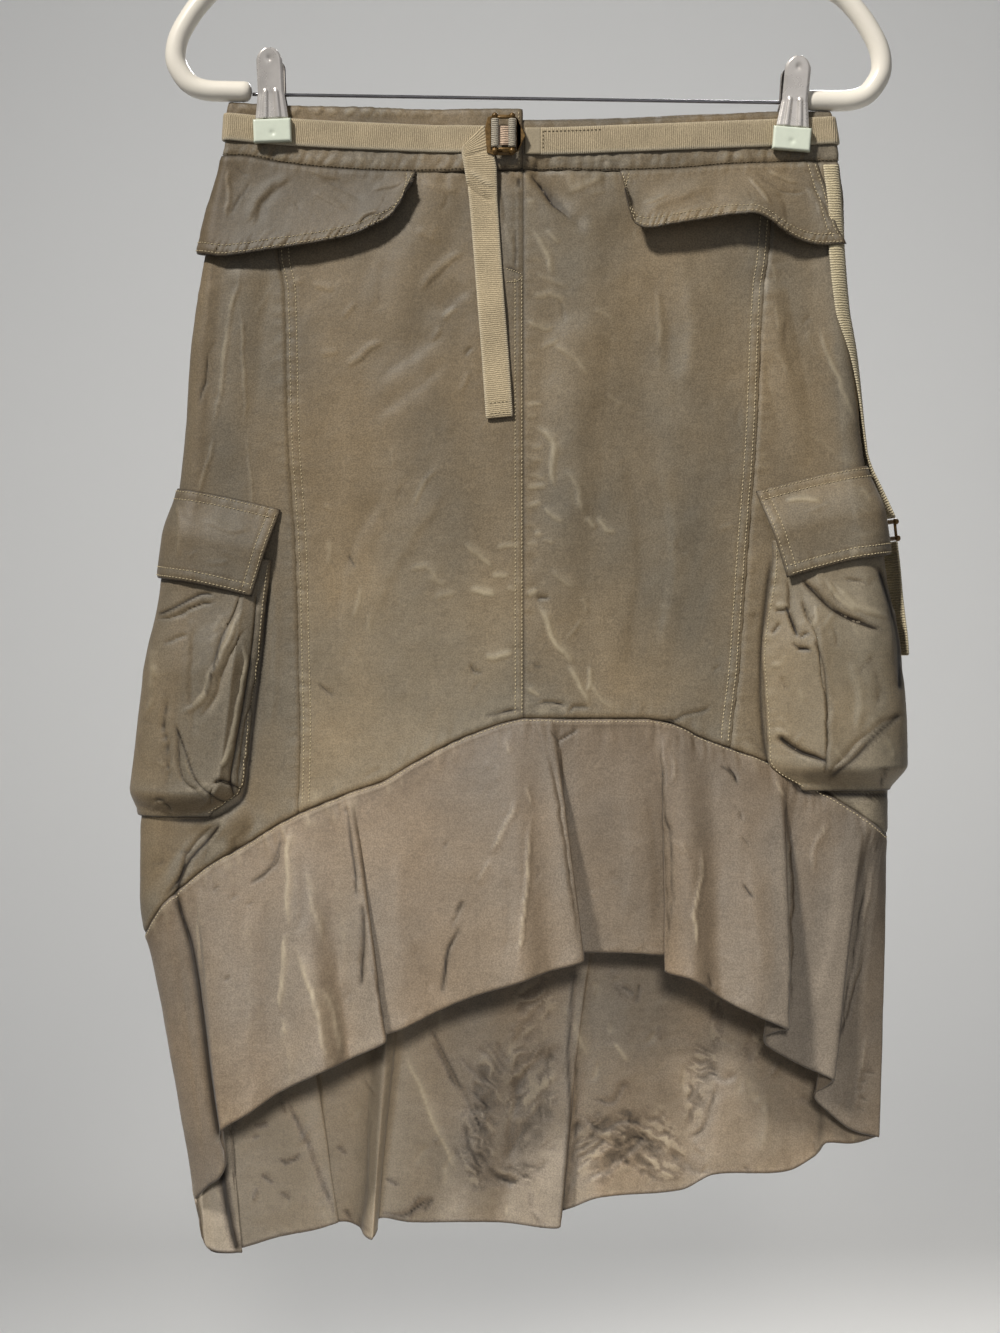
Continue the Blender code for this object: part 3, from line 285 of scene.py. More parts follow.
def noise(p):
    """Smooth gradient noise at points (..., 3), about -0.8 to 0.8."""
    cell = np.floor(p).astype(int)
    f = p - cell
    cell &= 255
    w = f * f * f * (f * (f * 6 - 15) + 10)
    total = np.zeros(p.shape[:-1])
    for dx in (0, 1):
        a = SHUFFLE[cell[..., 0] + dx]
        wx = w[..., 0] if dx else 1 - w[..., 0]
        for dy in (0, 1):
            b = SHUFFLE[(a + cell[..., 1] + dy) & 255]
            wy = w[..., 1] if dy else 1 - w[..., 1]
            for dz in (0, 1):
                c = SHUFFLE[(b + cell[..., 2] + dz) & 255]
                wz = w[..., 2] if dz else 1 - w[..., 2]
                d = f - np.array((dx, dy, dz))
                total += wx * wy * wz * (SLOPES[c] * d).sum(-1)
    return total * 1.4


def rough(points, size, seed=0.0):
    """Noise with lumps about as wide as size, a number or one for each axis."""
    return noise(points / np.array(size, float) + seed)


# ---------------------------------------------------------------- the body's surface
BODY_AT = {column: smooth_table(BODY, "drop", column) for column in Section._fields[1:]}
PRINCESS_AT = {column: smooth_table(PRINCESS, "drop", column) for column in ("left", "right")}
BAND_SEAM_AT = smooth_table(BAND_SEAM, "x", "drop")
BELT_AT = smooth_table(BELT_MIDDLE, "x", "drop")
HEM_FRONT_AT = smooth_table(HEM_SEAM_FRONT, "x", "drop")
HEM_BACK_AT = smooth_table(HEM_SEAM_BACK, "x", "drop")


def girth(drop):
    """The body's middle, half the width of its flat part, and the radius of its edges."""
    left, right, edge = (BODY_AT[column](drop) for column in ("left", "right", "edge"))
    return (right - left) / 2, (right + left) / 2 - edge, edge


def wrapped(station):
    return np.where(station > 3, station - 6, station)


def in_front(station):
    return np.abs(wrapped(station)) < 1.5


def ring(drop, station):
    """Points of the body without its folds. A station runs round it: -1 to 1 across the
    front, 1 to 2 round the right edge, 2 to 4 across the back and 4 to 5 round the left."""
    drop, station = np.broadcast_arrays(np.asarray(drop, float), np.asarray(station, float))
    station = wrapped(station)
    middle, half, edge = girth(drop)
    side, t = np.where(station >= 0, 1.0, -1.0), np.abs(station)
    angle = math.pi * (t - 1.5)
    u = 3 - t
    front_y = -edge - BODY_AT["front"](drop) * (1 - t * t) ** 2
    back_y = edge + BODY_AT["back"](drop) * (1 - u * u) ** 2
    round_x = side * (half + edge * np.cos(angle))
    x = np.where(t <= 1, station * half, np.where(t <= 2, round_x, side * u * half))
    y = np.where(t <= 1, front_y, np.where(t <= 2, edge * np.sin(angle), back_y))
    return np.stack([middle + x, y, WAIST_Z - drop], -1)


def fold_height(drop, station, x):
    """How far the large soft folds stand out of the body, or in where it is below 0."""
    side = np.where(in_front(station), -1, 1)
    total = np.zeros(np.shape(x))
    for soft in BODY_FOLDS:
        along = np.array((soft.x1 - soft.x0, soft.drop1 - soft.drop0), float)
        hx, hd = x - soft.x0, drop - soft.drop0
        near = np.clip((hx * along[0] + hd * along[1]) / along.dot(along), 0, 1)
        away = np.hypot(hx - near * along[0], hd - near * along[1]) / soft.reach
        fade = 0.25 + 0.75 * ease((1 - near) / 0.5)
        height = soft.height * fade * np.maximum(0, 1 - away * away) ** 2
        total += np.where(side == soft.side, height, 0)
    return total * ease(np.abs(np.abs(wrapped(station)) - 1.5) / 0.2)


def surface(drop, station, out=0.0):
    """Points of the body with its folds, or out from it."""
    point = ring(drop, station)
    along = ring(drop, station + 0.004) - ring(drop, station - 0.004)
    down = ring(drop + 1.0, station) - ring(drop - 1.0, station)
    normal = unit(np.cross(down, along))
    return point + normal * np.asarray(out + fold_height(drop, station, point[..., 0]))[..., None]


def station_of_x(drop, x):
    """The station on the front half at an x."""
    middle, half, edge = girth(drop)
    reach = x - middle
    turned = np.arccos(np.clip((np.abs(reach) - half) / edge, -1.0, 1.0))
    return np.where(np.abs(reach) <= half, reach / half, np.copysign(1.5 - turned / math.pi, reach))


def station_round(drop, side, distance):
    """The station at a distance from a side's middle: above 0 over the front, below 0 over the
    back."""
    _, half, edge = girth(drop)
    quarter = math.pi * edge / 2
    near = 1.5 - distance / (math.pi * edge)
    front = 1 - (distance - quarter) / half
    back = 2 + (-distance - quarter) / half
    return side * np.where(np.abs(distance) <= quarter, near, np.where(distance > 0, front, back))


def side_of(name):
    """-1 for the left one of a pair and 1 for the right one."""
    return -1 if name == "left" else 1


def front_x(x_at, shift=0.0):
    """A function that gives the station at an x of the front, itself a function of the drop."""
    return lambda drop: station_of_x(drop, x_at(drop) + shift)


def back_x(x_at, shift=0.0):
    """The same at an x of the back."""
    return lambda drop: 3 - station_of_x(drop, x_at(drop) + shift)


def constant(value):
    return lambda drop: np.full(np.shape(drop), float(value))


def below_band(x, station):
    return BAND_SEAM_AT(x) + BAND_GAP / 2


def above_band_seam(x, station):
    return BAND_SEAM_AT(x) - BAND_GAP / 2


def flounce_seam(x, station):
    return np.where(np.abs(wrapped(station)) <= 1.5, HEM_FRONT_AT(x), HEM_BACK_AT(x))


def above_flounce(x, station):
    return flounce_seam(x, station) - FLOUNCE_SEAM / 2


def columns_between(edges, counts, start, end, rows):
    """Drops and stations of a grid: columns spaced between edges, rows between two ends."""
    s = np.concatenate([k + np.arange(n) / n for k, n in enumerate(counts)] + [[len(counts)]])
    which = np.minimum(s.astype(int), len(counts) - 1)

    def station(drop):
        values = [np.broadcast_to(edge(drop), np.shape(drop)) for edge in edges]
        result = np.zeros(np.shape(drop))
        for k in range(len(counts)):
            result = np.where(which == k, lerp(values[k], values[k + 1], s - k), result)
        return result

    ends = []
    for edge, guess in ((start, 40.0), (end, 440.0)):
        drop = np.full(len(s), guess)
        for _ in range(8):
            at = station(drop)
            drop = edge(ring(drop, at)[..., 0], at)
        ends.append(drop)
    v = (np.arange(rows + 1) / rows)[:, None]
    drops = lerp(ends[0][None, :], ends[1][None, :], v)
    return drops, station(drops)


# ---------------------------------------------------------------- cloth
class Cloth:
    """A grid of inner-face points, rows down and columns left to right seen from outside."""

    def __init__(self, points, thickness=CLOTH, face=1.0):
        self.points = points
        self.thickness = thickness
        self.face = face  # the side that is looked at: 1 outside, 0 inside
        self.pale = np.zeros(points.shape[:2])
        self.level = False  # ribs of webbing follow its rows instead of its slanting first end
        self.measure()

    def measure(self):
        p = self.points
        across = np.linalg.norm(np.diff(p, axis=1), axis=-1)
        down = np.linalg.norm(np.diff(p, axis=0), axis=-1)
        self.left = np.pad(np.cumsum(across, 1), ((0, 0), (1, 0)))
        self.top = np.pad(np.cumsum(down, 0), ((1, 0), (0, 0)))
        self.right = self.left[:, -1:] - self.left
        self.bottom = self.top[-1:, :] - self.top
        self.normal = unit(np.cross(np.gradient(p, axis=0), np.gradient(p, axis=1)))
        self.outer = p + self.normal * self.thickness * self.face

    def lift(self, height, pale=None):
        self.points = self.points + self.normal * np.asarray(height)[..., None]
        if pale is not None:
            self.pale = self.pale + pale
        self.measure()

    def seen(self):
        """Where each point is seen from the front: x and drop on the plane through the body."""
        k = (VIEW_DISTANCE + self.outer[..., 1] - VIEW_PLANE_Y) / VIEW_DISTANCE
        x = VIEW_X + (self.outer[..., 0] - VIEW_X) / k
        z = VIEW_Z + (self.outer[..., 2] - VIEW_Z) / k
        return x, WAIST_Z - SEEN_SHIFT - z

    def edge(self, name):
        """The distance from an edge, and how far along it."""
        away = getattr(self, name)
        return away, self.top if name in ("left", "right") else self.left


# A crease along a path of (x, drop) in what is seen from the front. Its height is a ridge's or,
# below 0, a trough's. Where step is above 0 the cloth on the left of a path that runs down
# stands over that on its right, below 0 the other way. Pale paints a highlight along it or,
# below 0, painted shade.
Crease = namedtuple("Crease", "path reach height step pale")
STEP_FADE, STEP_EDGE = 15.0, 1.0


def nearest(x, drop, path):
    """Each point's distance from a path, how far along that is, and on which hand."""
    best, where, hand = np.full(x.shape, 1e9), np.zeros(x.shape), np.zeros(x.shape)
    for i, ((ax, ad), (bx, bd)) in enumerate(zip(path, path[1:])):
        way_x, way_d = bx - ax, bd - ad
        square = way_x * way_x + way_d * way_d
        s = np.clip(((x - ax) * way_x + (drop - ad) * way_d) / square, 0, 1)
        dx, dd = x - ax - s * way_x, drop - ad - s * way_d
        d = np.hypot(dx, dd)
        closer = d < best
        best = np.where(closer, d, best)
        where = np.where(closer, (i + s) / (len(path) - 1), where)
        hand = np.where(closer, np.sign(way_x * dd - way_d * dx), hand)
    return best, where, hand


def crease(cloth, rows, front=None, strength=1.0, relief=0.75):
    """Presses rows of creases into cloth, where front is true, and paints highlights and shade along
    them.
    """
    x, drop = cloth.seen()
    p = cloth.points
    x = x + rough(p, 13, 4.1) * 1.6 + rough(p, 5, 2.9) * 0.45
    drop = drop + rough(p, 13, 8.3) * 1.6 + rough(p, 5, 9.7) * 0.45
    uneven = np.clip(0.78 + 0.8 * rough(p, 16, 6.7) + 0.45 * rough(p, 7, 3.3), 0.1, 1.5)
    height, pale = np.zeros(x.shape), np.zeros(x.shape)
    for row in rows:
        path = through(row.path, 4.0)
        low, high = path.min(axis=0), path.max(axis=0)
        margin = max(4 * row.reach, 2.5 * STEP_FADE if row.step else 0)
        near = (x > low[0] - margin) & (x < high[0] + margin)
        near &= (drop > low[1] - margin) & (drop < high[1] + margin)
        if front is not None:
            near &= front
        if not near.any():
            continue
        best, where, hand = nearest(x[near], drop[near], path)
        taper = np.sqrt(np.clip(4 * where * (1 - where), 0, 1))
        fade = ease(where / 0.25) * ease((1 - where) / 0.25)
        reach = row.reach * (0.45 + 0.55 * taper)
        crisp = np.where(hand > 0, 0.75, 1.6)
        amount = row.height * bell(best, reach * 0.85 * crisp) * fade
        if row.step:
            over = (math.copysign(1.0, row.step) * hand * best + STEP_EDGE) / (2 * STEP_EDGE)
            lip = ease(over) * np.exp(-best / STEP_FADE)
            amount = amount + abs(row.step) * lip * fade
        height[near] += amount
        core = bell(best, np.maximum(0.75, reach * 0.36)) * uneven[near]
        wide = bell(best, reach * 1.7 * crisp)
        stroke = 0.6 * core + 0.26 * wide if row.pale > 0 else 1.1 * core + 0.2 * wide
        pale[near] += row.pale * stroke * fade
    tone = pale * strength * np.where(pale < 0, 1.15, 1.0)
    cloth.lift(height * strength * relief, tone)


# Gaps between two layers of one piece, and beside the bags, sunk and painted dark as shade:
# half width and depth, then the path's x and drop in turn, as seen.
GAPS = {
    "flounce_front": (
        (
            2.1, 2.6, -219, 484, -216, 500, -210, 520, -206.5, 540, -202.5, 570, -199, 600,
            -195.5, 625, -193, 641,
        ),
        (0.9, 0.35, -112.3, 436.5, -111, 447, -109.2, 462.5, -107.3, 478, -106.7, 490.4),
        (1.5, 0.35, -103, 494.8, -102.3, 509, -102.3, 524.5, -103.6, 546.2),
        (1, 0.25, -41, 493.5, -44.7, 501),
        (1.2, 0.22, -41.6, 509, -48.4, 521.4, -50.9, 533.8, -53.4, 550.6),
        (1, 0.3, -152.6, 455.1, -156.3, 465.6, -161.2, 474.9, -171.8, 483),
        (1, 0.3, 119, 409.8, 127.1, 416, 129.5, 421), (0.9, 0.25, 133.9, 484.2, 139.5, 492.3),
        (1.8, 0.5, 163, 420, 168, 425.5, 176, 427.8, 190, 428.2),
    ),
    "flounce_back": (
        (2, 1.4, -191.5, 650, -189.5, 664, -187, 680, -184, 696, -180.5, 710),
        (1.8, 0.8, -199, 711.5, -191, 713.5, -181, 714),
        (1.1, 0.5, 29.1, 535.7, 26.6, 561.7, 24.8, 592.7, 26, 623.7, 23.5, 654.7, 21, 695),
        (0.9, 0.35, -59.6, 574.1, -48.4, 595.8, -41, 611.3),
    ),
    "panel_side_right": (
        (2, 0.7, 166.7, 425, 189.7, 427.6, 226.2, 428.6),
        (1.7, 0.5, 151.3, 277, 146.5, 316, 144, 348.5, 145, 381, 149, 408, 161, 423.5, 172, 426),
    ),
    "panel_front_left": (
        (0.8, 0.3, -26.1, 379.5, -14.3, 377, -5, 375.1),
    ),
    "panel_side_left": (
        (1.3, 0.8, -189.8, 445.2, -199.7, 457.6, -209.6, 468.7, -215.8, 481.1, -218.3, 493.5),
        (1, 0.4, -202.2, 496.6, -209.6, 502.8, -215.8, 515.2),
        (1.7, 0.5, -161, 286, -163.5, 329, -171, 393, -175.5, 427, -183.5, 436, -197, 443, -219, 444),
    ),
    "cargo_bag_right": (
        (1.4, 1, 169.5, 294.8, 184.7, 310, 195, 317, 206, 321.5, 216.8, 325.6),
        (1.2, 1.2, 217, 286, 222, 300.7, 226.3, 316.2, 230, 334.2, 231, 362.8),
        (1, 1, 160, 311.3, 164, 322.8, 166.7, 329.3), (0.9, 0.4, 164, 334.2, 168, 337.5, 174.2, 338.3),
        (0.9, 0.4, 176.7, 329.3, 183.5, 349.7, 185.3, 375.7, 185.2, 404.3, 184.1, 414.2),
        (1.6, 0.9, 154.5, 391.6, 166.7, 400.5, 184.5, 407.5),
        (1.7, 0.6, 185.2, 419.5, 202.7, 405.5, 215.7, 391.2, 231.2, 378.2),
    ),
    "cargo_bag_left": (
        (1, 0.7, -231, 317, -219, 312, -203, 304, -196, 304),
        (0.9, 0.65, -219, 384, -213, 400, -206, 419, -197, 428, -188, 433, -182, 430),
        (0.9, 0.6, -178, 303, -183, 317, -190, 331, -196, 352, -199, 366),
        (1.1, 0.9, -168, 300, -170, 330, -175, 366, -181, 400, -184, 418, -182, 430),
        (1, 0.9, -195, 421, -190, 419, -183, 422, -176, 426),
    ),
}


def gaps(cloth, name, front=True):
    """Sinks cloth along a piece's gaps and paints shade into them."""
    x, drop = cloth.seen()
    for wide, deep, *path in GAPS.get(name, ()):
        away, where, _ = nearest(x, drop, through(pairs(path), 3.0))
        mask = bell(away, wide) * ease(where / 0.1) * ease((1 - where) / 0.06 + 0.4)
        mask = np.where(front, mask, 0.0)
        cloth.lift(-deep * mask, -min(1.5, deep * 1.15 + 0.25) * mask)


def scatter(cloth, count, seed, lean=0.35, strength=1.0):
    """Short creases left by wear, most of them slanting one way or the other, with a painted highlight
    on each ridge and painted shade in each trough.
    """
    random = np.random.default_rng(seed)
    x, drop = cloth.seen()
    rows = []
    for _ in range(count):
        middle = random.uniform(x.min(), x.max()), random.uniform(drop.min(), drop.max())
        length = random.uniform(5, 20)
        turn = random.choice((-1, 1)) * random.normal(lean, 0.3) + math.pi / 2
        way = np.array((math.cos(turn), math.sin(turn))) * length / 2
        bow = np.array((-way[1], way[0])) * random.uniform(-0.35, 0.35)
        sign = random.choice((-1, 1, 1))
        path = tuple(middle + k * way + b * bow for k, b in ((-1, 0), (0, 1), (1, 0)))
        reach = random.uniform(0.9, 1.9)
        height = sign * random.uniform(0.15, 0.4)
        rows.append(Crease(path, reach, height, 0, sign * random.uniform(0.04, 0.14)))
    crease(cloth, rows, strength=strength)


def crinkle(cloth, amount=1.0, seed=0.0):
    """Soft hanging folds under the fine puckering of crisp nylon."""
    p = cloth.points
    soft = rough(p, (48, 48, 95), seed) * 1.25 + rough(p, (21, 21, 34), seed + 7) * 0.5
    warp = np.stack([rough(p, 26, seed + k) for k in (11, 23, 31)], -1) * 0.7
    folds = rough(p, (12, 12, 17), seed + 3 + warp) * 0.26
    fine = rough(p, (5.5, 5.5, 5.0), seed + 17) * 0.08
    cloth.lift(amount * (soft + folds + fine), 0.05 * rough(p, 4, seed + 41))


# Patches of fine crushed pleats on the back flounce: where they are seen, how big they are,
# the slant of their pleats in degrees down from level, and how dark the shade painted into
# their pleats is.
Patch = namedtuple("Patch", "x drop wide high slant dark")
PATCHES = table(
    Patch, (-31, 645, 10, 23, 58, 0.8), (-25.5, 608, 9, 25, 66, 0.6), (2, 612, 13, 37, -58, 0.55),
    (-9, 663, 17, 7, 18, 0.8), (45, 649, 18, 20, -42, 0.75), (70, 640, 19, 17, 36, 0.75),
    (84, 655, 16, 12, 40, 0.6), (109, 596, 9, 13, 14, 0.8), (102, 618, 6, 15, 82, 0.7),
    (4, 558, 13, 13, -35, 0.5), (116, 570, 4, 14, 80, 0.6), (140, 583, 6, 10, 75, 0.4),
)


def hatch(cloth):
    """Fine crushed pleats over each of the patches, with shade painted into them."""
    x, drop = cloth.seen()
    for k, patch in enumerate(PATCHES):
        dx, dd = x - patch.x, drop - patch.drop
        slant = math.radians(patch.slant)
        along = dx * math.cos(slant) + dd * math.sin(slant)
        across = dd * math.cos(slant) - dx * math.sin(slant)
        p = np.stack([along / 11.0, across / 2.9, np.full(x.shape, 1.7 * k)], -1)
        wander = noise(np.stack([along / 9.0, across / 9.0, np.full(x.shape, 5.1 + k)], -1))
        p[..., 1] += wander * 1.6
        pleats = noise(p) + 0.4 * noise(p * 2.1 + 3)
        mask = ease((1.2 - np.hypot(dx / patch.wide, dd / patch.high) + wander * 0.7) / 0.5)
        shade = 0.5 * ease((pleats + 0.15) / 0.2) + 0.35 * ease((pleats - 0.15) / 0.3)
        cloth.lift(0.45 * pleats * mask, (0.1 - patch.dark * shade) * mask)


def seam(cloth, edge, rows=(), roll=0.8, pucker=0.3, pitch=4.6, width=5.0, seed=0.0, dark=0.5):
    """Cloth drawn in at an edge, with stitched grooves and the puckers between them. The pucker ridges
    get a painted highlight, and dark paints shade along the edge.
    """
    away, along = cloth.edge(edge)
    height = -roll * bell(away, 1.3)
    for d in rows:
        height = height - 0.2 * bell(away - d, 0.8)
    p = np.stack([along / pitch, away / 26.0, np.full(away.shape, 0.5)], -1) + seed
    ripple = noise(p) + 0.5 * noise(p * 1.9 + 5)
    band = bell(away - width * 0.6, width)
    tone = np.clip(ripple, 0, 1) * band * pucker * 0.3 - dark * bell(away, 0.9)
    cloth.lift(height + pucker * ripple * band, tone)


STITCH_LENGTH, STITCH_PITCH, STITCH_RADIUS, STITCH_LIFT = 1.5, 2.4, 0.34, 0.22


class Stitches:
    """Dashes of thread gathered into one mesh."""

    def __init__(self):
        self.verts, self.faces = [], []

    def run(self, path, normals, pitch=STITCH_PITCH, length=STITCH_LENGTH):
        """Dashes along a path: two thin ends and a thick raised middle, each with 4 corners."""
        if len(path) < 2:
            return
        walked = distances(path)

        def at(distance, rows):
            return np.array([np.interp(distance, walked, column) for column in rows.T])

        for start in np.arange(pitch * 0.3, walked[-1] - length, pitch):
            a, b = at(start, path), at(start + length, path)
            n = unit(at(start, normals))
            side = unit(np.cross(unit(b - a), n))
            base = len(self.verts)
            for t, size, lift in ((0.0, 0.35, 0.0), (0.5, 1.0, STITCH_LIFT), (1.0, 0.35, 0.0)):
                c = a + (b - a) * t + n * (STITCH_RADIUS * 0.4 + lift)
                for u, w in ((1, 0), (0, 1), (-1, 0), (0, -1)):
                    self.verts.append(tuple((c + (side * u + n * w) * STITCH_RADIUS * size) * MM))
            for low in (base, base + 4):
                for q, r in ((0, 1), (1, 2), (2, 3), (3, 0)):
                    self.faces.append((low + q, low + r, low + 4 + r, low + 4 + q))
            self.faces.append((base + 3, base + 2, base + 1, base))
            self.faces.append((base + 8, base + 9, base + 10, base + 11))

    def piece(self, name, material, slot):
        mesh = bpy.data.meshes.new(name)
        mesh.from_pydata(self.verts, [], self.faces)
        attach(dress(name, mesh, material), "root")


def inset_line(cloth, edge, inset, trims=(0.0, 0.0), keep=None):
    """The outer face's points at a distance from an edge, with their normals."""
    away = getattr(cloth, edge)
    lines = []
    for grid in (cloth.outer, cloth.normal * (1 if cloth.face else -1)):
        g, a = (grid, away) if edge in ("left", "right") else (grid.transpose(1, 0, 2), away.T)
        if a[0, 0] > a[0, -1]:
            g, a = g[:, ::-1], a[:, ::-1]
        index = np.array([np.interp(inset, row, np.arange(len(row))) for row in a])
        low = np.minimum(index.astype(int), g.shape[1] - 2)
        t = (index - low)[:, None]
        rows = np.arange(g.shape[0])
        lines.append(g[rows, low] * (1 - t) + g[rows, low + 1] * t)
    path, normals = lines
    walked = distances(path)
    use = (walked >= trims[0]) & (walked <= walked[-1] - trims[1])
    if keep is not None:
        use &= keep(path)
    return path[use], normals[use]


def pinned(cloth, path):
    """Points of the outer face under a path of what is seen, and their normals."""
    x, drop = cloth.seen()
    spots = [
        np.unravel_index(np.argmin((x - px) ** 2 + (drop - pd) ** 2), x.shape)
        for px, pd in through(path, 2.0)
    ]
    return [np.array([grid[spot] for spot in spots]) for grid in (cloth.outer, cloth.normal)]


def stitch_edge(stitches, cloth, edge, insets, trims=(0.0, 0.0), keep=None):
    """Rows of stitches along an edge, each at its own distance from it."""
    for inset in insets:
        stitches.run(*inset_line(cloth, edge, inset, trims, keep))


def put(name, data):
    """A new object in the scene."""
    obj = bpy.data.objects.new(name, data)
    bpy.context.scene.collection.objects.link(obj)
    return obj


def dress(name, mesh, material):
    obj = put(name, mesh)
    mesh.materials.append(material)
    return obj


def blurred(grid, cells):
    """A grid averaged over a square of cells, its ends held."""
    for axis in (0, 1):
        n = max(1, min(cells[axis], grid.shape[axis] // 2 - 1))
        pad = [(0, 0)] * grid.ndim
        pad[axis] = (n + 1, n)
        total = np.cumsum(np.pad(grid, pad, "edge"), axis)
        count = grid.shape[axis]
        high = np.take(total, np.arange(count) + 2 * n + 1, axis)
        grid = (high - np.take(total, np.arange(count), axis)) / (2 * n + 1)
    return grid


Sheet = namedtuple("Sheet", "width length area")
# The size a piece of cloth is cut to, as laid flat: width and length in mm, area in cm2.
# The direction of the key light: cloth turned towards it is painted brighter, as light, and cloth turned
# away darker, as shade.
SHOT_LIGHT = np.array((-0.62, -0.25, 0.74))
SHOT_SPAN, SHOT_LIMIT = 28.0, 0.3
COARSE, RIM_BULGE, HIDDEN_TINT = 3, 0.42, 0.3


def shot_and_shade_tint(cloth):
    """How far each point turns towards the upper left, where the key light is, from the cloth around it.
    The nylon paints cloth that turns that way brighter and greyer, as light, and cloth that turns away
    darker, as shade.
    """
    spans = (np.median(np.diff(cloth.top, axis=0)), np.median(np.diff(cloth.left, axis=1)))
    cells = [int(SHOT_SPAN / 2 / span) for span in spans]
    around = unit(blurred(blurred(cloth.normal, cells), cells))
    return ((cloth.normal - around) @ SHOT_LIGHT) * (1 if cloth.face else -1)


def quads(grid):
    """The four corners of each cell of a grid of vertex numbers."""
    corners = (grid[:-1, :-1], grid[1:, :-1], grid[1:, 1:], grid[:-1, 1:])
    return np.stack(corners, -1).reshape(-1, 4)


def shell(name, cloth, material, node):
    """A closed shell: a fine face where it is looked at, a coarse one behind, a rounded rim."""
    front = bool(cloth.face)
    inner = cloth.points
    outer = inner + cloth.normal * cloth.thickness
    fine, coarse = (outer, inner) if front else (inner, outer)
    rows, cols = inner.shape[:2]
    count = rows * cols
    ids = np.arange(count).reshape(rows, cols)
    loop = [(0, j) for j in range(cols - 1)] + [(i, cols - 1) for i in range(rows - 1)]
    loop += [(rows - 1, j) for j in range(cols - 1, 0, -1)] + [(i, 0) for i in range(rows - 1, 0, -1)]
    middle = (inner + outer) / 2
    rim = []
    for i, j in loop:
        inward = middle[min(max(i, 1), rows - 2), min(max(j, 1), cols - 2)]
        rim.append(middle[i, j] + unit(middle[i, j] - inward) * cloth.thickness * RIM_BULGE)

    # The coarse face keeps every third row and column of points, and the last ones.
    use = [np.unique(np.append(np.arange(0, n, COARSE), n - 1)) for n in (rows, cols)]
    picked = ids[np.ix_(*use)]
    behind = np.arange(picked.size).reshape(picked.shape) + count
    near_i, near_j = (
        np.searchsorted(kept, np.arange(n), "right") - 1 for kept, n in zip(use, (rows, cols))
    )
    back_points = coarse.reshape(-1, 3)[picked.ravel()]
    verts = np.concatenate([fine.reshape(-1, 3), back_points, np.array(rim)]) * MM

    edge_fine = np.array([ids[i, j] for i, j in loop])
    edge_coarse = np.array([behind[near_i[i], near_j[j]] for i, j in loop])
    edge_rim = np.arange(len(loop)) + count + picked.size
    after = np.roll(np.arange(len(loop)), -1)
    over = np.stack([edge_fine, edge_fine[after], edge_rim[after], edge_rim], -1)
    under = np.stack([edge_rim, edge_rim[after], edge_coarse[after], edge_coarse], -1)
    same = edge_coarse == edge_coarse[after]
    fours = np.concatenate([quads(ids), quads(behind)[:, ::-1], over, under[~same]])
    threes = under[same][:, :3]
    if not front:
        fours, threes = fours[:, ::-1], threes[:, ::-1]
    corners = np.concatenate([fours.ravel(), threes.ravel()]).astype(np.int32)
    sizes = np.array([4] * len(fours) + [3] * len(threes))

    mesh = bpy.data.meshes.new(name)
    mesh.vertices.add(len(verts))
    mesh.vertices.foreach_set("co", verts.ravel())
    mesh.loops.add(len(corners))
    mesh.loops.foreach_set("vertex_index", corners)
    mesh.polygons.add(len(sizes))
    mesh.polygons.foreach_set("loop_start", (np.cumsum(sizes) - sizes).astype(np.int32))
    mesh.polygons.foreach_set("use_smooth", np.ones(len(sizes), bool))
    mesh.update(calc_edges=True)

    def everywhere(values, hidden=1.0):
        flat = values.reshape(count, -1)
        return np.concatenate([flat, flat[picked.ravel()] * hidden, flat[edge_fine]])

    down = cloth.top
    if cloth.level:
        down = np.broadcast_to(down.mean(axis=1, keepdims=True), down.shape)
    cut = everywhere(np.stack([cloth.left, down], -1)) * MM
    mesh.uv_layers.new(name="cut").data.foreach_set("uv", cut[corners].ravel())
    # The pale tint carries painted highlights and painted shade, with some paler cloth; the other tint
    # is the slope towards the key light, which the nylon paints as light and shade and as a shift
    # between grey and olive.
    tints = {"pale": cloth.pale, "shot_and_shade": np.clip(shot_and_shade_tint(cloth), -SHOT_LIMIT, SHOT_LIMIT)}
    for title, values in tints.items():
        layer = mesh.attributes.new(title, "FLOAT", "POINT")
        layer.data.foreach_set("value", everywhere(values, HIDDEN_TINT).ravel())
    mesh.validate()
    obj = dress(name, mesh, material)
    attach(obj, "root")
    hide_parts(node)


def cloth_piece(node, cloth, material):
    shell(f"{node}_cloth", cloth, material, node)


# ---------------------------------------------------------------- materials
def new_material(name):
    material = bpy.data.materials.new(name)
    material.use_nodes = True
    tree = material.node_tree
    return material, tree, tree.nodes["Principled BSDF"]


def set_inputs(node, **values):
    """Sets inputs by name, with an underscore for each space."""
    for name, value in values.items():
        node.inputs[name.replace("_", " ")].default_value = value


def link(tree, a, b):
    tree.links.new(a, b)


def feed(tree, socket, value):
    """Gives a socket a number, a colour or another node's output."""
    if isinstance(value, (int, float)):
        socket.default_value = value
    elif isinstance(value, tuple):
        socket.default_value = (*value, 1.0)
    else:
        link(tree, value, socket)


def math_node(tree, operation, a, b, clamp=False):
    node = tree.nodes.new("ShaderNodeMath")
    node.operation = operation
    node.use_clamp = clamp
    feed(tree, node.inputs[0], a)
    feed(tree, node.inputs[1], b)
    return node.outputs[0]


def product(tree, first, *others, clamp=False):
    """Values multiplied with each other, held between 0 and 1 where clamp is true."""
    for other in others:
        first = math_node(tree, "MULTIPLY", first, other, clamp)
    return first


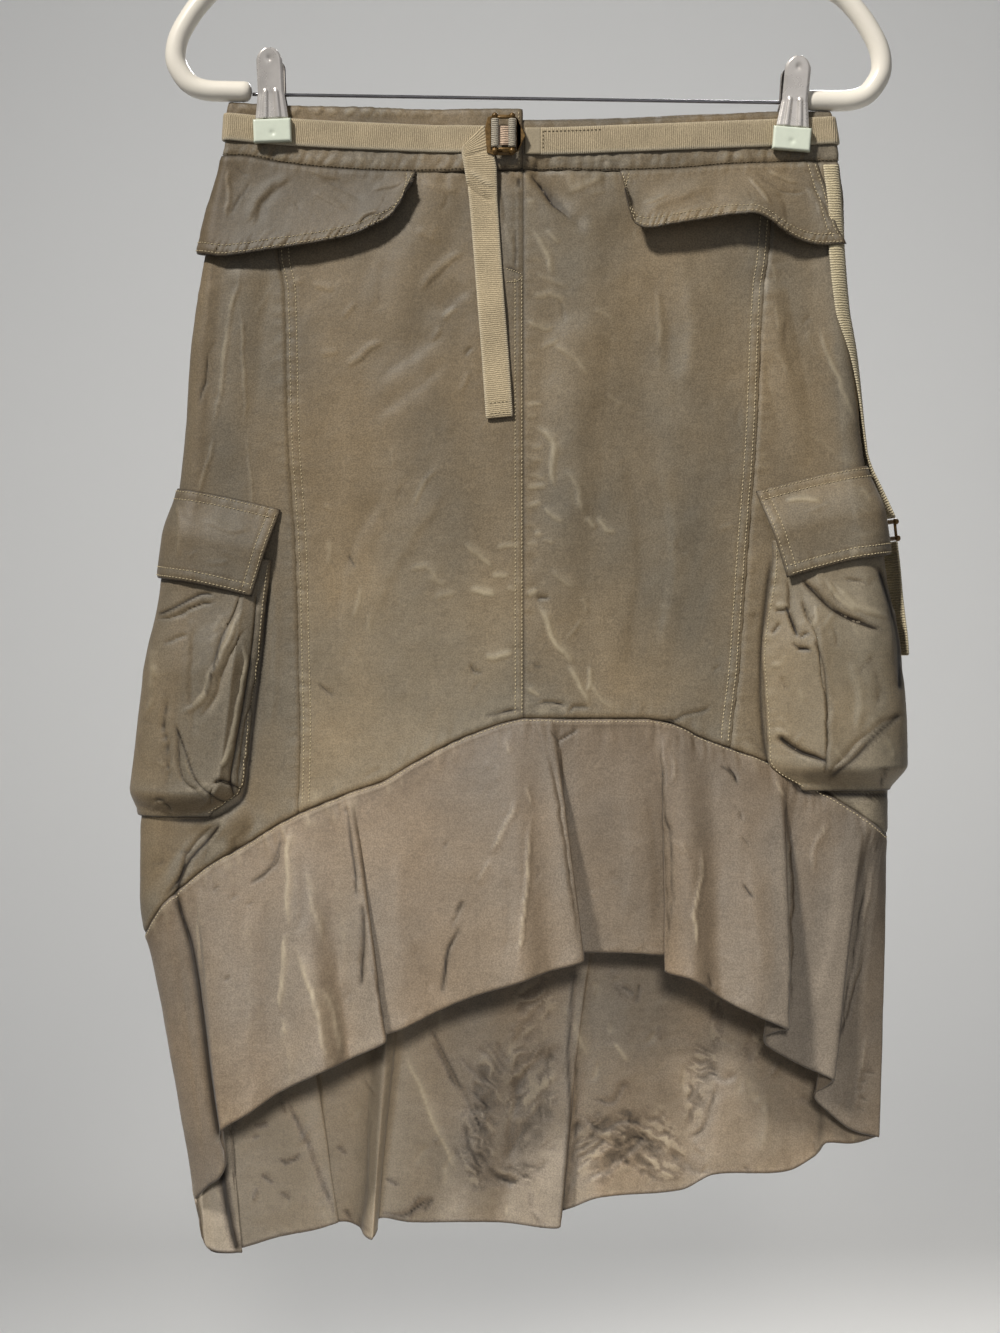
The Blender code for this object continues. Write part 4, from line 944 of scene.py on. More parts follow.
def noise_node(tree, scale, detail=2.0, stretch=(1, 1, 1), roughness=0.5):
    coords = tree.nodes.new("ShaderNodeTexCoord")
    mapping = tree.nodes.new("ShaderNodeMapping")
    set_inputs(mapping, Scale=stretch)
    texture = tree.nodes.new("ShaderNodeTexNoise")
    set_inputs(texture, Scale=scale, Detail=detail, Roughness=roughness)
    link(tree, coords.outputs["Object"], mapping.inputs["Vector"])
    link(tree, mapping.outputs["Vector"], texture.inputs["Vector"])
    return texture.outputs["Fac"]


def mix_colours(tree, factor, a, b, blend="MIX"):
    node = tree.nodes.new("ShaderNodeMix")
    node.data_type = "RGBA"
    node.blend_type = blend
    for index, value in ((0, factor), (6, a), (7, b)):
        feed(tree, node.inputs[index], value)
    return node.outputs[2]


def srgb(*values):
    """A colour given as 0 to 255 display values, made linear."""
    shown = [v / 255 for v in values]
    return tuple(v / 12.92 if v <= 0.04045 else ((v + 0.055) / 1.055) ** 2.4 for v in shown)


def scale_range(tree, value, low, high, from_low=0.35, from_high=0.65):
    node = tree.nodes.new("ShaderNodeMapRange")
    set_inputs(node, From_Min=from_low, From_Max=from_high, To_Min=low, To_Max=high)
    link(tree, value, node.inputs["Value"])
    return node.outputs["Result"]


def mottled(tree, low, high, *noise_values):
    """Noise that runs between two values."""
    return scale_range(tree, noise_node(tree, *noise_values), low, high)


def attribute(tree, name):
    node = tree.nodes.new("ShaderNodeAttribute")
    node.attribute_name = name
    return node.outputs["Fac"]


def shaded(tree, colour, amount):
    """A colour multiplied by an amount."""
    grey = tree.nodes.new("ShaderNodeCombineColor")
    for socket in grey.inputs[:3]:
        link(tree, amount, socket)
    return mix_colours(tree, 1.0, colour, grey.outputs["Color"], "MULTIPLY")


def marked(tree, colour, light, dark):
    """A colour that turns light where a mesh's pale value is above 0 and dark below: mostly painted
    highlights and painted shade, with some of the cloth's own paler parts and random tone.
    """
    pale = attribute(tree, "pale")
    for sign, mark in ((1.0, light), (-1.0, dark)):
        colour = mix_colours(tree, product(tree, pale, sign, clamp=True), colour, mark)
    return colour


def bump(tree, shader, height, strength, distance):
    node = tree.nodes.new("ShaderNodeBump")
    set_inputs(node, Strength=strength, Distance=distance)
    link(tree, height, node.inputs["Height"])
    link(tree, node.outputs["Normal"], shader.inputs["Normal"])


def nylon(name, olive, grey, pale_and_highlight):
    """Crisp two-tone cloth: olive and grey show in turn, at random and by the slope of the cloth to the
    key light. Cloth turned to that light is painted brighter, as light, and turned away darker, as
    shade; creases get painted highlights and painted shade.
    """
    material, tree, shader = new_material(name)
    shot_and_shade = attribute(tree, "shot_and_shade")
    drift = scale_range(tree, noise_node(tree, 13, 2.0, (1, 1, 0.6)), 0.1, 0.9, 0.32, 0.66)
    turned = math_node(tree, "ADD", drift, product(tree, shot_and_shade, -2.5), clamp=True)
    # Painted light and shade: brighter where the cloth turns to the key light, darker where it turns
    # away.
    painted_light = math_node(tree, "ADD", product(tree, shot_and_shade, 1.1), 1.0)
    slub = mottled(tree, 0.965, 1.035, 62, 3.0, (1, 1, 15))
    warp = mottled(tree, 0.98, 1.02, 75, 2.0, (9, 9, 1))
    grain = mottled(tree, 0.8, 1.2, 1100, 2.0)
    clouds = mottled(tree, 0.92, 1.08, 38, 4.0, (1, 1, 0.7), 0.62)
    colour = mix_colours(tree, turned, grey, olive)
    colour = shaded(tree, colour, product(tree, slub, grain, warp, clouds, painted_light))
    # The pale colour paints highlights and the dark one painted shade.
    colour = marked(tree, colour, pale_and_highlight, srgb(42, 34, 24))
    link(tree, colour, shader.inputs["Base Color"])
    set_inputs(shader, Roughness=0.55, Specular_IOR_Level=0.35, Sheen_Weight=0.1, Sheen_Roughness=0.4)
    fine = noise_node(tree, 330, 3.0, (1, 1, 0.9), 0.6)
    weave = noise_node(tree, 1700, 1.0)
    height = math_node(tree, "ADD", product(tree, fine, 0.6), product(tree, weave, 0.4))
    bump(tree, shader, height, 0.35, 0.7 * MM)
    return material


def ribbed(name, colour, dark, pitch, along="X", relief=0.7):
    """Webbing with ribs across its length; along names the cut's lengthwise axis."""
    material, tree, shader = new_material(name)
    cut = tree.nodes.new("ShaderNodeUVMap")
    cut.uv_map = "cut"
    parts = tree.nodes.new("ShaderNodeSeparateXYZ")
    link(tree, cut.outputs["UV"], parts.inputs["Vector"])
    wobble = mottled(tree, -0.9, 0.9, 260, 2.0)
    turn = product(tree, parts.outputs[along], 2 * math.pi / (pitch * MM))
    wave = math_node(tree, "SINE", math_node(tree, "ADD", turn, wobble), 0.0)
    ribs = math_node(tree, "ADD", product(tree, wave, 0.5), 0.5)
    grain = mottled(tree, 0.8, 1.16, 1500, 2.0)
    clouds = mottled(tree, 0.93, 1.06, 70, 3.0)
    # The grooves between the ribs are painted darker, as the shade in them.
    base = mix_colours(tree, product(tree, ribs, 0.75), dark, colour)
    base = shaded(tree, base, product(tree, grain, clouds))
    # The tape's pale edges, and painted highlights and painted shade on the creases of the tail.
    base = marked(tree, base, srgb(214, 205, 182), srgb(60, 52, 40))
    link(tree, base, shader.inputs["Base Color"])
    set_inputs(shader, Roughness=0.8, Specular_IOR_Level=0.25, Sheen_Weight=0.2, Sheen_Roughness=0.5)
    height = math_node(tree, "ADD", ribs, product(tree, noise_node(tree, 1500, 2.0), 0.5))
    bump(tree, shader, height, relief, 0.6 * MM)
    return material


def plain(name, colour, roughness, metallic=0.0, speck=0.0, scale=120.0, coat=0.0, bump_mm=0.0):
    """A hard material, with a little uneven wear where speck is above 0."""
    material, tree, shader = new_material(name)
    set_inputs(shader, Metallic=metallic, Roughness=roughness)
    feed(tree, shader.inputs["Base Color"], colour)
    if speck:
        wear = mottled(tree, 1 - speck, 1 + speck, scale, 4.0, (1, 1, 1), 0.6)
        link(tree, shaded(tree, colour, wear), shader.inputs["Base Color"])
        link(tree, product(tree, wear, roughness), shader.inputs["Roughness"])
    if coat:
        set_inputs(shader, Coat_Weight=coat, Coat_Roughness=0.15)
    if bump_mm:
        bump(tree, shader, noise_node(tree, scale, 3.0), 0.5, bump_mm * MM)
    return material


# The last colour of each nylon is that of its painted highlights, and of the paler belt tab.
SHELL = nylon("shell_nylon", srgb(137, 119, 91), srgb(112, 103, 87), srgb(208, 194, 163))
FLOUNCE = nylon("flounce_nylon", srgb(130, 113, 92), srgb(117, 107, 94), srgb(216, 201, 170))
BELT = ribbed("belt_webbing_ribs", srgb(194, 178, 147), srgb(160, 144, 116), 1.25, relief=0.55)
TAIL = ribbed("tail_webbing_ribs", srgb(200, 183, 150), srgb(170, 153, 122), 1.25, "Y", 0.5)
STRAP_CLOTH = ribbed("strap_webbing_ribs", srgb(222, 208, 172), srgb(172, 158, 126), 1.6, "Y")
THREAD = plain("stitch_thread", srgb(204, 188, 152), 0.7)
BRASS = plain("antique_brass", srgb(112, 86, 46), 0.38, 0.4, 0.35, 400, bump_mm=0.15)
DARK_THREAD = plain("dark_stitch_thread", srgb(112, 98, 74), 0.8)
BAR_STEEL = plain("bar_steel", srgb(150, 148, 150), 0.22, 0.95, 0.1, 60)
PLASTIC = plain("ivory_plastic", srgb(246, 239, 224), 0.32, 0.0, 0.02, 30, coat=0.3)
STEEL = plain("clip_chrome", srgb(224, 218, 211), 0.28, 0.5, 0.1, 60)
PAD = plain("clip_pad_rubber", srgb(222, 229, 210), 0.34, 0.0, 0.03, 200, coat=0.2)
DARK_STEEL = plain("spring_steel", srgb(92, 88, 84), 0.35, 1.0)
LOOP_WEBBING = ribbed("loop_webbing_ribs", srgb(196, 188, 170), srgb(150, 140, 122), 1.2, "Y")
PINK_WEBBING = ribbed("inner_webbing_ribs", srgb(216, 190, 164), srgb(190, 164, 140), 1.4, "Y")

STITCHES, DARK_STITCHES = Stitches(), Stitches()


# ---------------------------------------------------------------- creases
def alike(reach, height, pale, *paths):
    """Rows of creases that differ only in their paths."""
    return [(reach, height, pale, *path) for path in paths]


def ticks(reach, height, pale, start, end, *xs):
    """Rows of short creases between two drops: the x of their two ends in turn."""
    return [(reach, height, pale, a, start, b, end) for a, b in pairs(xs)]


# Each row: reach, height and pale, then the path's x and drop in turn.
CREASES = {
    "panel_front_left": (
        (2.4, 0.8, 0.28, -69, 116, -61.5, 109, -51, 99.5, -39, 90.5),
        (1.6, 0.5, 0.32, -53, 134.5, -47, 128, -43, 125), (1.6, 0.5, 0.2, -60.5, 148, -53.5, 137.5),
        (2, 0.8, 0.34, -113, 164, -106, 159, -98, 151, -88.5, 147.5),
        (2, 0.6, 0.28, -134.5, 112.5, -129, 113, -120, 116),
        (1.2, 0.4, 0.25, -147, 111.5, -139.5, 110.5), (1.6, 0.4, 0.18, -129, 155, -117, 154.5),
        (1.4, 0.4, 0.15, -115.5, 133.5, -106, 122.5), (1.4, 0.4, 0.18, -42, 179, -36, 165.5),
        (1.2, -0.8, -0.3, -39, 156, -33.5, 150), (8, -0.9, -0.06, -96.5, 172.5, -75, 156, -51, 140),
        (7, -0.8, -0.06, -98, 196.5, -75, 179, -48.5, 159),
        (6, -1, -0.08, -55, 132, -47, 121, -36, 113),
        (5, -0.5, -0.05, -90, 91.5, -90.5, 113, -95.5, 132),
        (3, 0.5, 0.14, -70, 79.5, -61.5, 81.5, -55, 87.5),
        (2, 0.4, 0.14, -67, 48, -55, 52.5, -41.5, 54.5),
        (1.2, 0.4, 0.22, -18.5, 62, -12, 82, -4.5, 102.5),
        (1.6, -0.6, -0.25, -18, 46, -16, 62, -14.5, 78),
        (1.8, 0.7, 0.35, -41, 271.5, -32, 278.5, -19.5, 287),
        (1.6, 0.5, 0.25, -73, 289.5, -63, 286.5, -56.5, 295.5),
        (1.5, 0.4, 0.18, -62.5, 293, -50.5, 299.5), (1.5, 0.4, 0.18, -58.5, 307.5, -44.5, 303.5),
        (1.8, 1, 0.6, -36.5, 301, -27.5, 302.5, -18, 305),
        (1.6, 0.8, 0.5, -27.5, 342, -19.5, 343, -9, 340.5),
        (1.2, 0.6, 0.42, -22, 291.5, -17, 293.5, -11, 292.5),
        (1.1, 0.5, 0.36, -19.5, 274.5, -10, 273, -5, 274), (1.1, 0.5, 0.3, -13.5, 300.5, -7.5, 302),
        (0.9, -0.7, -0.5, -37, 346, -34, 351, -27.5, 352.5),
        (0.8, -0.6, -0.5, -111.5, 278.5, -107.5, 287),
        (1.2, 0.4, 0.2, -104, 297, -105, 311.5, -110.5, 320),
        (0.8, -0.7, -0.55, -131, 359.5, -126, 362.5, -119, 367),
        (1.2, 0.4, 0.25, -127, 249.5, -120.5, 251.5),
        (0.9, -0.6, -0.5, -16.5, 377, -13.5, 375.5, -7, 376),
        (1.2, 0.4, 0.2, -73, 251.5, -65, 237.5, -56.5, 225),
        (6, -0.7, -0.07, -120.5, 328, -112.5, 282.5, -85.5, 233),
        (7, 0.7, 0.05, -100, 324, -79.5, 278.5, -50.5, 237.5),
        (1.1, -0.8, -0.75, -5.5, 44.5, -5, 49, -5.5, 53.5),
        (0.9, -0.5, -0.5, -15, 101.5, -8.5, 103.5, -3, 106.5),
        (0.9, -0.4, -0.35, -7.5, 75.5, -7, 90.5, -7.5, 104),
    ),
    "panel_front_right": (
        (1.4, -1.6, -0.85, 7, 44, 9.5, 55.5, 16, 62.5, 27.5, 73),
        (1.6, 0.5, 0.28, 24, 56.5, 35.5, 50, 47.5, 44.5), (1.4, 0.3, 0.15, 38, 55.5, 49, 53),
        (1.6, 0.7, 0.32, -0.5, 78, 6.5, 82, 12, 94.5, 15, 107.5),
        (1.4, 0.5, 0.22, 3, 105, 12.5, 109, 26, 113.5), (1.4, 0.5, 0.25, 3, 120, 15, 118.5, 22.5, 124),
        (1.4, 0.5, 0.22, 11, 78, 20, 86.5), (1.5, 0.6, 0.3, -1, 134.5, 10, 139, 16.5, 137),
        (1.6, 0.6, 0.25, 15, 146.5, 25, 155, 40, 168.5), (1.3, 0.4, 0.16, 39.5, 127, 55, 133.5),
        (1.4, 0.4, 0.2, 7, 152.5, 20, 144), (1, 0.5, 0.35, -1, 186, 9, 186.5),
        (1, 0.4, 0.25, -1, 193, 7, 194), (1, 0.4, 0.2, -1, 59.5, 4.5, 60),
        (2, 0.5, 0.16, 79.5, 110.5, 81.5, 132, 81, 153.5), (1.2, 0.3, 0.12, 49, 179, 59.5, 187.5),
        (7, -0.8, -0.06, 70.5, 102.5, 88, 132, 86.5, 172.5),
        (8, 0.9, 0.04, 97, 105, 102.5, 140, 94.5, 185.5),
        (1.5, 0.9, 0.5, 3.5, 200, 12.5, 206, 16, 213.5, 14, 227, 18, 239.5),
        (2.4, 0.7, 0.2, 22.5, 226, 29, 235, 35.5, 255),
        (1.4, 0.5, 0.3, 9.5, 250, 16.5, 256.5, 22.5, 260.5), (1.5, 0.6, 0.34, 35.5, 256.5, 41.5, 263.5),
        (1.5, 0.6, 0.3, 42, 255, 47.5, 264.5, 55, 266), (1.1, 0.6, 0.42, -0.5, 238, 6, 238, 12.5, 237),
        (1, 0.4, 0.25, -0.5, 249, 8.5, 248), (1, 0.4, 0.28, -1, 273, 6.5, 272.5),
        (1, 0.4, 0.3, 4, 266.5, 8.5, 266.5), (1, 0.4, 0.3, 8.5, 269.5, 17, 271.5),
        (1, 0.4, 0.24, 1.5, 213.5, 10, 212.5), (1, 0.3, 0.2, 1.5, 221, 8.5, 220.5),
        (1, 0.3, 0.2, 1.5, 230, 10, 231), (1.6, 0.5, 0.22, 12.5, 288.5, 22, 295.5, 30, 302.5),
        (1.4, 0.3, 0.14, 32.5, 306, 37, 316), (1.2, -1.2, -0.75, 4.5, 306, 8.5, 306, 14, 306),
        (1.1, 0.6, 0.42, -0.5, 305, 1.5, 300.5, 6.5, 301),
        (1.8, 1.2, 0.65, 5.5, 308.5, 11, 319.5, 16.5, 333, 24.5, 342.5, 28, 350),
        (1.4, 0.8, 0.42, 24, 347.5, 31.5, 359, 38.5, 374),
        (1.2, 0.6, 0.34, 37.5, 347.5, 38.5, 357.5, 36.5, 365),
        (1.6, 0.4, 0.18, 38.5, 356, 44.5, 368.5, 55, 376.5), (1, 0.5, 0.34, 0, 361.5, 8, 367),
        (1, -1.2, -0.8, 5, 372.5, 15, 371, 25, 374), (1, -1.2, -0.8, 25, 378.5, 29.5, 374, 39, 375),
        (1, -1, -0.7, 81, 381.5, 89, 383, 100, 379, 109.5, 375, 114, 371),
        (0.8, -0.5, -0.3, 114.5, 352, 120.5, 348), (1.2, 0.4, 0.18, 118.5, 263, 127, 260.5),
        (0.7, -0.5, -0.4, 3, 348, 8.5, 348.5), (7, 0.8, 0.04, 81, 209.5, 92, 276.5, 81, 350.5),
        (8, -0.8, -0.05, 59.5, 209.5, 70.5, 271, 62, 357.5),
        (2.2, -1.4, -0.75, 1, 42, 6, 48.5, 9.5, 54.5), (1.8, -1.2, -0.6, 8, 49.5, 13, 59, 20, 66.5),
        (5, -1, -0.22, 5, 47, 20, 62.5, 38.5, 81),
    ),
    "panel_side_left": (
        (1.4, 1, 0.5, -178, 95.5, -180.5, 113, -186, 134.5, -189.5, 165.5, -195, 204.5),
        (1, 0.6, 0.38, -179, 121, -177.5, 140, -176, 172.5, -174.5, 204.5),
        (1, -1.2, -0.85, -199, 152, -200.5, 171, -204, 189), (3, 0.6, 0.1, -199, 107.5, -198.5, 140),
        (1.4, 0.3, 0.14, -159.5, 114, -169.5, 132),
        (1.3, 0.7, 0.35, -194.5, 204.5, -199.5, 227, -206, 245.5),
        (1.1, 0.5, 0.3, -174.5, 203.5, -172.5, 227, -171, 258),
        (1.8, -2.4, -0.85, -189, 442, -201, 453, -210.5, 464, -217, 481.5, -229.5, 494.5),
        (1.6, 0.9, 0.2, -186, 444.5, -195.5, 455, -204, 466.5),
        (1.4, 0.4, 0.22, -175.5, 447, -187, 456.5), (1, -0.9, -0.6, -217, 464.5, -210, 463.5),
        (1, -0.9, -0.6, -234.5, 471, -224, 470), (1, -0.6, -0.4, -240.5, 480, -236, 480),
        (1.2, -0.6, -0.3, -197.5, 454.5, -200, 470.5),
        (1.2, -0.8, -0.5, -145.5, 436.5, -152, 443.5, -164.5, 453, -180.5, 461.5, -193, 468.5),
        (2.2, 0.8, 0.1, -159, 282.5, -156.5, 332.5, -160, 394.5),
    ),
    "panel_side_right": (
        (1.5, 1.1, 0.5, 180, 135.5, 183.5, 148, 188.5, 163, 194, 172.5, 199.5, 190, 205.5, 202.5),
        (1.2, 0.4, 0.2, 154, 124, 155, 141.5), (1.2, 0.4, 0.2, 153.5, 152, 162.5, 169),
        (3.5, -1, -0.14, 160.5, 129.5, 160.5, 152, 168.5, 170.5),
        (2.4, 0.7, 0.14, 171, 140, 177, 152, 182.5, 159.5), (1.2, 0.4, 0.24, 149.5, 98.5, 154, 110),
        (1, -1, -0.6, 133.5, 392, 141.5, 398, 148.5, 405),
        (1.4, 0.4, 0.18, 142, 337, 143, 357.5, 146, 384),
        (1.6, 0.5, 0.2, 188.5, 219, 196.5, 223, 204.5, 221.5),
        (1.4, 0.4, 0.16, 170, 202.5, 183, 209.5, 192.5, 219),
        (1, -1, -0.65, 186.5, 431, 196.5, 438, 219.5, 452),
        (1.2, 0.5, 0.34, 201.5, 433.5, 208.5, 440.5, 216, 448), (0.9, -0.8, -0.6, 209, 429, 215, 433.5),
        (0.8, -0.7, -0.5, 139, 319, 141.5, 315.5),
    ),
    "hip_flap_left": (
        (1.2, 0.7, 0.32, -186.5, 38, -186, 54, -187.5, 72),
        (3, 0.9, 0.22, -176.5, 75.5, -170.5, 64.5, -161, 53, -145, 43),
        (2.2, 0.5, 0.16, -134.5, 52.5, -126, 58, -112.5, 66.5),
        (2.2, 0.6, 0.22, -98, 53, -84.5, 50, -73.5, 44.5),
        (1.1, -0.8, -0.35, -106, 80, -103.5, 73, -98, 69.5, -88.5, 67, -77.5, 56.5),
        (1.1, 0.5, 0.35, -107, 78, -104.5, 71.5, -98.5, 67.5, -90, 65.5),
        (4, -0.8, -0.08, -129, 46, -115.5, 51.5, -102, 62),
        (3, -0.7, -0.08, -153, 46, -165, 62, -169.5, 78),
        (1.5, 0.4, 0.15, -137, 40.5, -129, 44, -115.5, 45),
        (3, 0.6, 0.1, -199, 58, -201.5, 73, -201.5, 85),
    ),
    "hip_flap_right": (
        (1.2, 0.8, 0.26, 135, 46, 144, 53, 151, 62.5),
        (1.1, 0.7, 0.26, 148.5, 40.5, 156.5, 46, 167.5, 50),
        (1.4, -0.7, -0.2, 140, 43, 149.5, 48.5, 160.5, 55.5, 174, 54),
        (1.4, 0.6, 0.18, 172.5, 51.5, 179, 62, 182, 70.5),
        (1.2, 0.5, 0.2, 70.5, 62.5, 78.5, 60, 89, 56.5), (4, 0.9, 0.1, 70.5, 70, 89, 58, 116, 50),
        (4, -0.9, -0.08, 78.5, 73, 97, 63.5, 124, 58), (1.6, -0.8, -0.3, 174.5, 47.5, 183, 62, 190, 75),
        (2.5, -0.7, -0.1, 153.5, 54, 160.5, 64.5, 161.5, 75.5),
    ),
    "cargo_bag_left": (
        (1.2, -2, -0.8, -166, 332.5, -167, 348, -169.5, 363.5, -175, 388, -178.5, 410, -181, 428.5),
        (1.2, 0.9, 0.42, -176.5, 330, -175.5, 349, -179, 369.5, -181.5, 385, -191.5, 415),
        (1.8, 1.4, 0.34, -176.5, 311.5, -186, 332.5, -196.5, 353.5, -201.5, 367.5, -217.5, 380.5),
        (2.2, -1.2, -0.12, -173.5, 323, -187.5, 348, -194.5, 369.5, -206, 383),
        (1.1, -1.3, -0.6, -232.5, 321, -219, 317, -203.5, 310.5, -192, 308),
        (1, -0.9, -0.4, -227.5, 335, -218.5, 332.5, -209.5, 328),
        (1.1, -1.2, -0.55, -224, 358.5, -226, 385, -223, 400.5, -223, 424),
        (1.1, -1.3, -0.6, -219.5, 379.5, -215, 413, -212, 422, -206.5, 425.5, -198.5, 435.5),
        (1.1, 0.7, 0.3, -213.5, 394.5, -209.5, 414, -203.5, 420.5),
        (1, -1.2, -0.7, -196.5, 421.5, -190.5, 420.5, -183.5, 423),
        (1, -0.9, -0.5, -195.5, 423, -196.5, 429, -197, 435.5), (1, -1, -0.6, -231, 432.5, -225, 432),
        (1, -1, -0.6, -227, 433.5, -220.5, 440),
        (1, 0.8, 0.45, -182.5, 394.5, -186, 402.5, -190.5, 412),
        (1.6, 0.8, 0.22, -234.5, 332.5, -233, 357, -237, 382),
        (2.5, -1, -0.1, -206, 320, -209.5, 357, -207, 394.5),
    ),
    "cargo_bag_right": (
        (1.4, -1.4, -0.3, 160.5, 294, 162.5, 315, 167.5, 331), (0.9, -1, -0.7, 168, 331, 174, 328.5),
        (0.9, -1, -0.7, 166, 338.5, 175.5, 337.5), (0.9, -1, -0.75, 153, 314.5, 162, 314.5),
        (1.1, 0.8, 0.4, 153.5, 311.5, 161, 311.5),
        (1.8, -1.7, -0.25, 169, 293.5, 181, 304.5, 193.5, 315, 206, 321, 217.5, 325.5),
        (1.4, 1.1, 0.3, 189, 296.5, 202.5, 310.5, 212, 315.5, 225.5, 318.5),
        (1.2, 0.8, 0.34, 183.5, 294, 194.5, 307.5, 207, 315),
        (1, -0.9, -0.5, 195.5, 296, 202.5, 295, 211.5, 297.5),
        (1.8, -1.3, -0.25, 215.5, 282.5, 221.5, 301.5, 226.5, 323, 230.5, 364.5),
        (1.2, 0.6, 0.3, 220.5, 286.5, 226.5, 307.5, 231, 332.5),
        (2, -1.4, -0.25, 152.5, 392.5, 168.5, 402, 186, 407.5), (1.4, 0.6, 0.2, 152, 387.5, 163.5, 393),
        (1.8, -1, -0.15, 183.5, 419, 203.5, 397.5, 218, 385, 232.5, 377),
        (1.3, 0.6, 0.24, 220.5, 392.5, 226.5, 400.5, 224.5, 410),
        (1, -0.9, -0.7, 218, 424, 222, 411.5, 217, 411.5),
        (0.9, -0.9, -0.5, 156, 321.5, 153.5, 325, 150.5, 329.5),
        (1.4, 0.6, 0.22, 151, 348, 156.5, 348.5), (1.4, 0.5, 0.16, 178, 310, 179, 319.5, 176.5, 325),
        (1.2, -0.9, -0.4, 168.5, 307.5, 172.5, 317, 175, 322.5),
        (3, 0.9, 0.1, 199.5, 344.5, 206, 369.5, 203.5, 391),
        (3, -0.9, -0.1, 212, 338.5, 218, 363.5, 215.5, 379),
    ),
    "cargo_flap_right": (
        (1.4, 0.8, 0.42, 158.5, 247, 167.5, 245, 176, 245, 181.5, 248),
        (1.2, 0.4, 0.2, 204.5, 238.5, 211, 243, 213, 247.5),
    ),
    "cargo_flap_left": (
        (1.4, 0.8, 0.32, -218.5, 245.5, -217, 264, -217.5, 284),
        (2.5, 0.6, 0.12, -203.5, 258, -185, 264, -169.5, 263),
    ),
    "flounce_front": (
        (1.3, 1.1, 0.62, -147, 444.5, -149, 465.5, -149.5, 495.5, -148, 511.5),
        (1.3, 1, 0.52, -148, 511.5, -151, 521, -153, 544.5, -154.5, 566),
        (1.3, 0.6, 0.32, -154.5, 565, -152, 571.5, -149, 576.5),
        (3, 0.8, 0.14, -154, 567.5, -148.5, 592, -145.5, 605.5),
        (1.8, 1.2, 0.52, -147, 518.5, -139.5, 536.5, -133, 555.5, -128.5, 576, -122.5, 597.5),
        (1.6, 0.8, 0.34, -138, 470, -134, 492.5, -130, 511.5, -126.5, 521.5),
        (1.8, 0.9, 0.38, -129, 544.5, -122, 562, -115.5, 593), (1.2, 0.5, 0.36, -136, 439, -135.5, 449),
        (1.2, 0.5, 0.3, -153, 448, -148.5, 458),
        (4, -1, -0.08, -141.5, 461, -139.5, 495.5, -144, 517.5),
        (1, -1, -0.55, -152.5, 459, -156, 470.5, -163, 478, -171.5, 483),
        (1, -0.8, -0.5, -113, 435.5, -113, 440.5),
        (1.3, -1.2, -0.5, -111.5, 446, -109.5, 462.5, -107, 476.5, -107.5, 490),
        (2.3, -2, -0.42, -103, 495, -101.5, 508, -103, 529, -103.5, 551.5),
        (4, 0.9, 0.1, -117, 473.5, -114, 521, -115.5, 552.5),
        (1, -0.8, -0.45, -39.5, 492.5, -44.5, 503.5, -47.5, 511.5),
        (1.2, -1.1, -0.5, -42, 511, -49, 521, -51.5, 536.5, -53, 554),
        (2.5, -0.8, -0.14, -73, 517.5, -65, 536.5, -58.5, 553.5),
        (0.8, -0.6, -0.4, -51, 455.5, -52.5, 461),
        (1.1, 0.4, 0.28, -203.5, 479, -205, 505, -203.5, 544.5, -199, 576, -193, 623.5),
        (5, 1.1, 0.06, -174, 495.5, -172.5, 536.5, -171, 584),
        (6, -1, -0.06, -161.5, 483, -163, 536.5, -158.5, 600),
        (5, 0.9, 0.05, -79.5, 449.5, -81, 505, -76, 552.5),
        (1.4, 1.3, 0.62, 2.5, 437, 0.5, 462, -2, 494, -5, 521, -7.5, 542),
        (1.9, 1, 0.44, -7.5, 428, -13.5, 446, -24.5, 466.5),
        (1.8, 0.7, 0.28, -24.5, 466.5, -27.5, 476.5, -30.5, 484.5), (1.2, 0.6, 0.36, -1, 421, 2, 438),
        (1.2, 0.5, 0.34, -15, 390.5, -12.5, 404), (1.4, 0.4, 0.18, -21, 410, -18, 421.5),
        (4, -1.1, -0.1, -15.5, 476.5, -12, 505, -15.5, 533.5),
        (1.2, -1.5, -0.75, 12.5, 387, 19, 394.5, 26.5, 390.5, 32, 385.5),
        (1.1, -1, -0.6, 18, 394, 20.5, 400),
        (1, 0.4, 0.3, 15, 392.5, 18.5, 412.5, 23, 446, 28.5, 483.5, 33.5, 526),
        (1.2, 0.7, 0.42, 88.5, 403, 90.5, 412.5, 88.5, 422), (1.6, 0.4, 0.16, 93, 437, 105.5, 452),
        (1.3, 0.6, 0.3, 94, 455.5, 101, 469),
        (1.5, 1.1, 0.55, 108.5, 456.5, 107.5, 473, 104.5, 490.5, 103, 512, 105, 530.5),
        (1.1, -0.9, -0.7, 123, 410, 127, 414, 129.5, 420), (0.8, -0.6, -0.4, 133, 453, 137, 459),
        (0.8, -0.8, -0.6, 133.5, 483, 137, 487.5, 139.5, 492.5),
        (1, -0.9, -0.6, 112.5, 539, 113.5, 548), (1.3, 0.6, 0.4, 154.5, 418.5, 159, 430.5),
        (1, 0.4, 0.36, 160, 424.5, 160.5, 458.5, 161, 494, 161.5, 572.5),
        (1.5, 0.8, 0.44, 187, 437, 183, 449.5, 176, 464, 178, 481),
        (1, 0.4, 0.36, 214, 454.5, 214, 471, 207, 512, 198, 556.5, 189, 602.5),
        (1, 0.5, 0.32, 210, 572.5, 206, 601, 201, 628.5),
        (1, -1, -0.7, 209, 526, 202, 549.5, 192.5, 584), (6, 1, 0.05, 57.5, 414, 64.5, 458.5, 61, 512),
        (5, -0.9, -0.07, 73.5, 423, 80.5, 467.5, 79, 521),
        (5, 1, 0.06, 137.5, 458.5, 143, 512, 146.5, 547.5),
        (5, 1, 0.06, 194.5, 458.5, 191, 512, 178.5, 565.5),
        *alike(
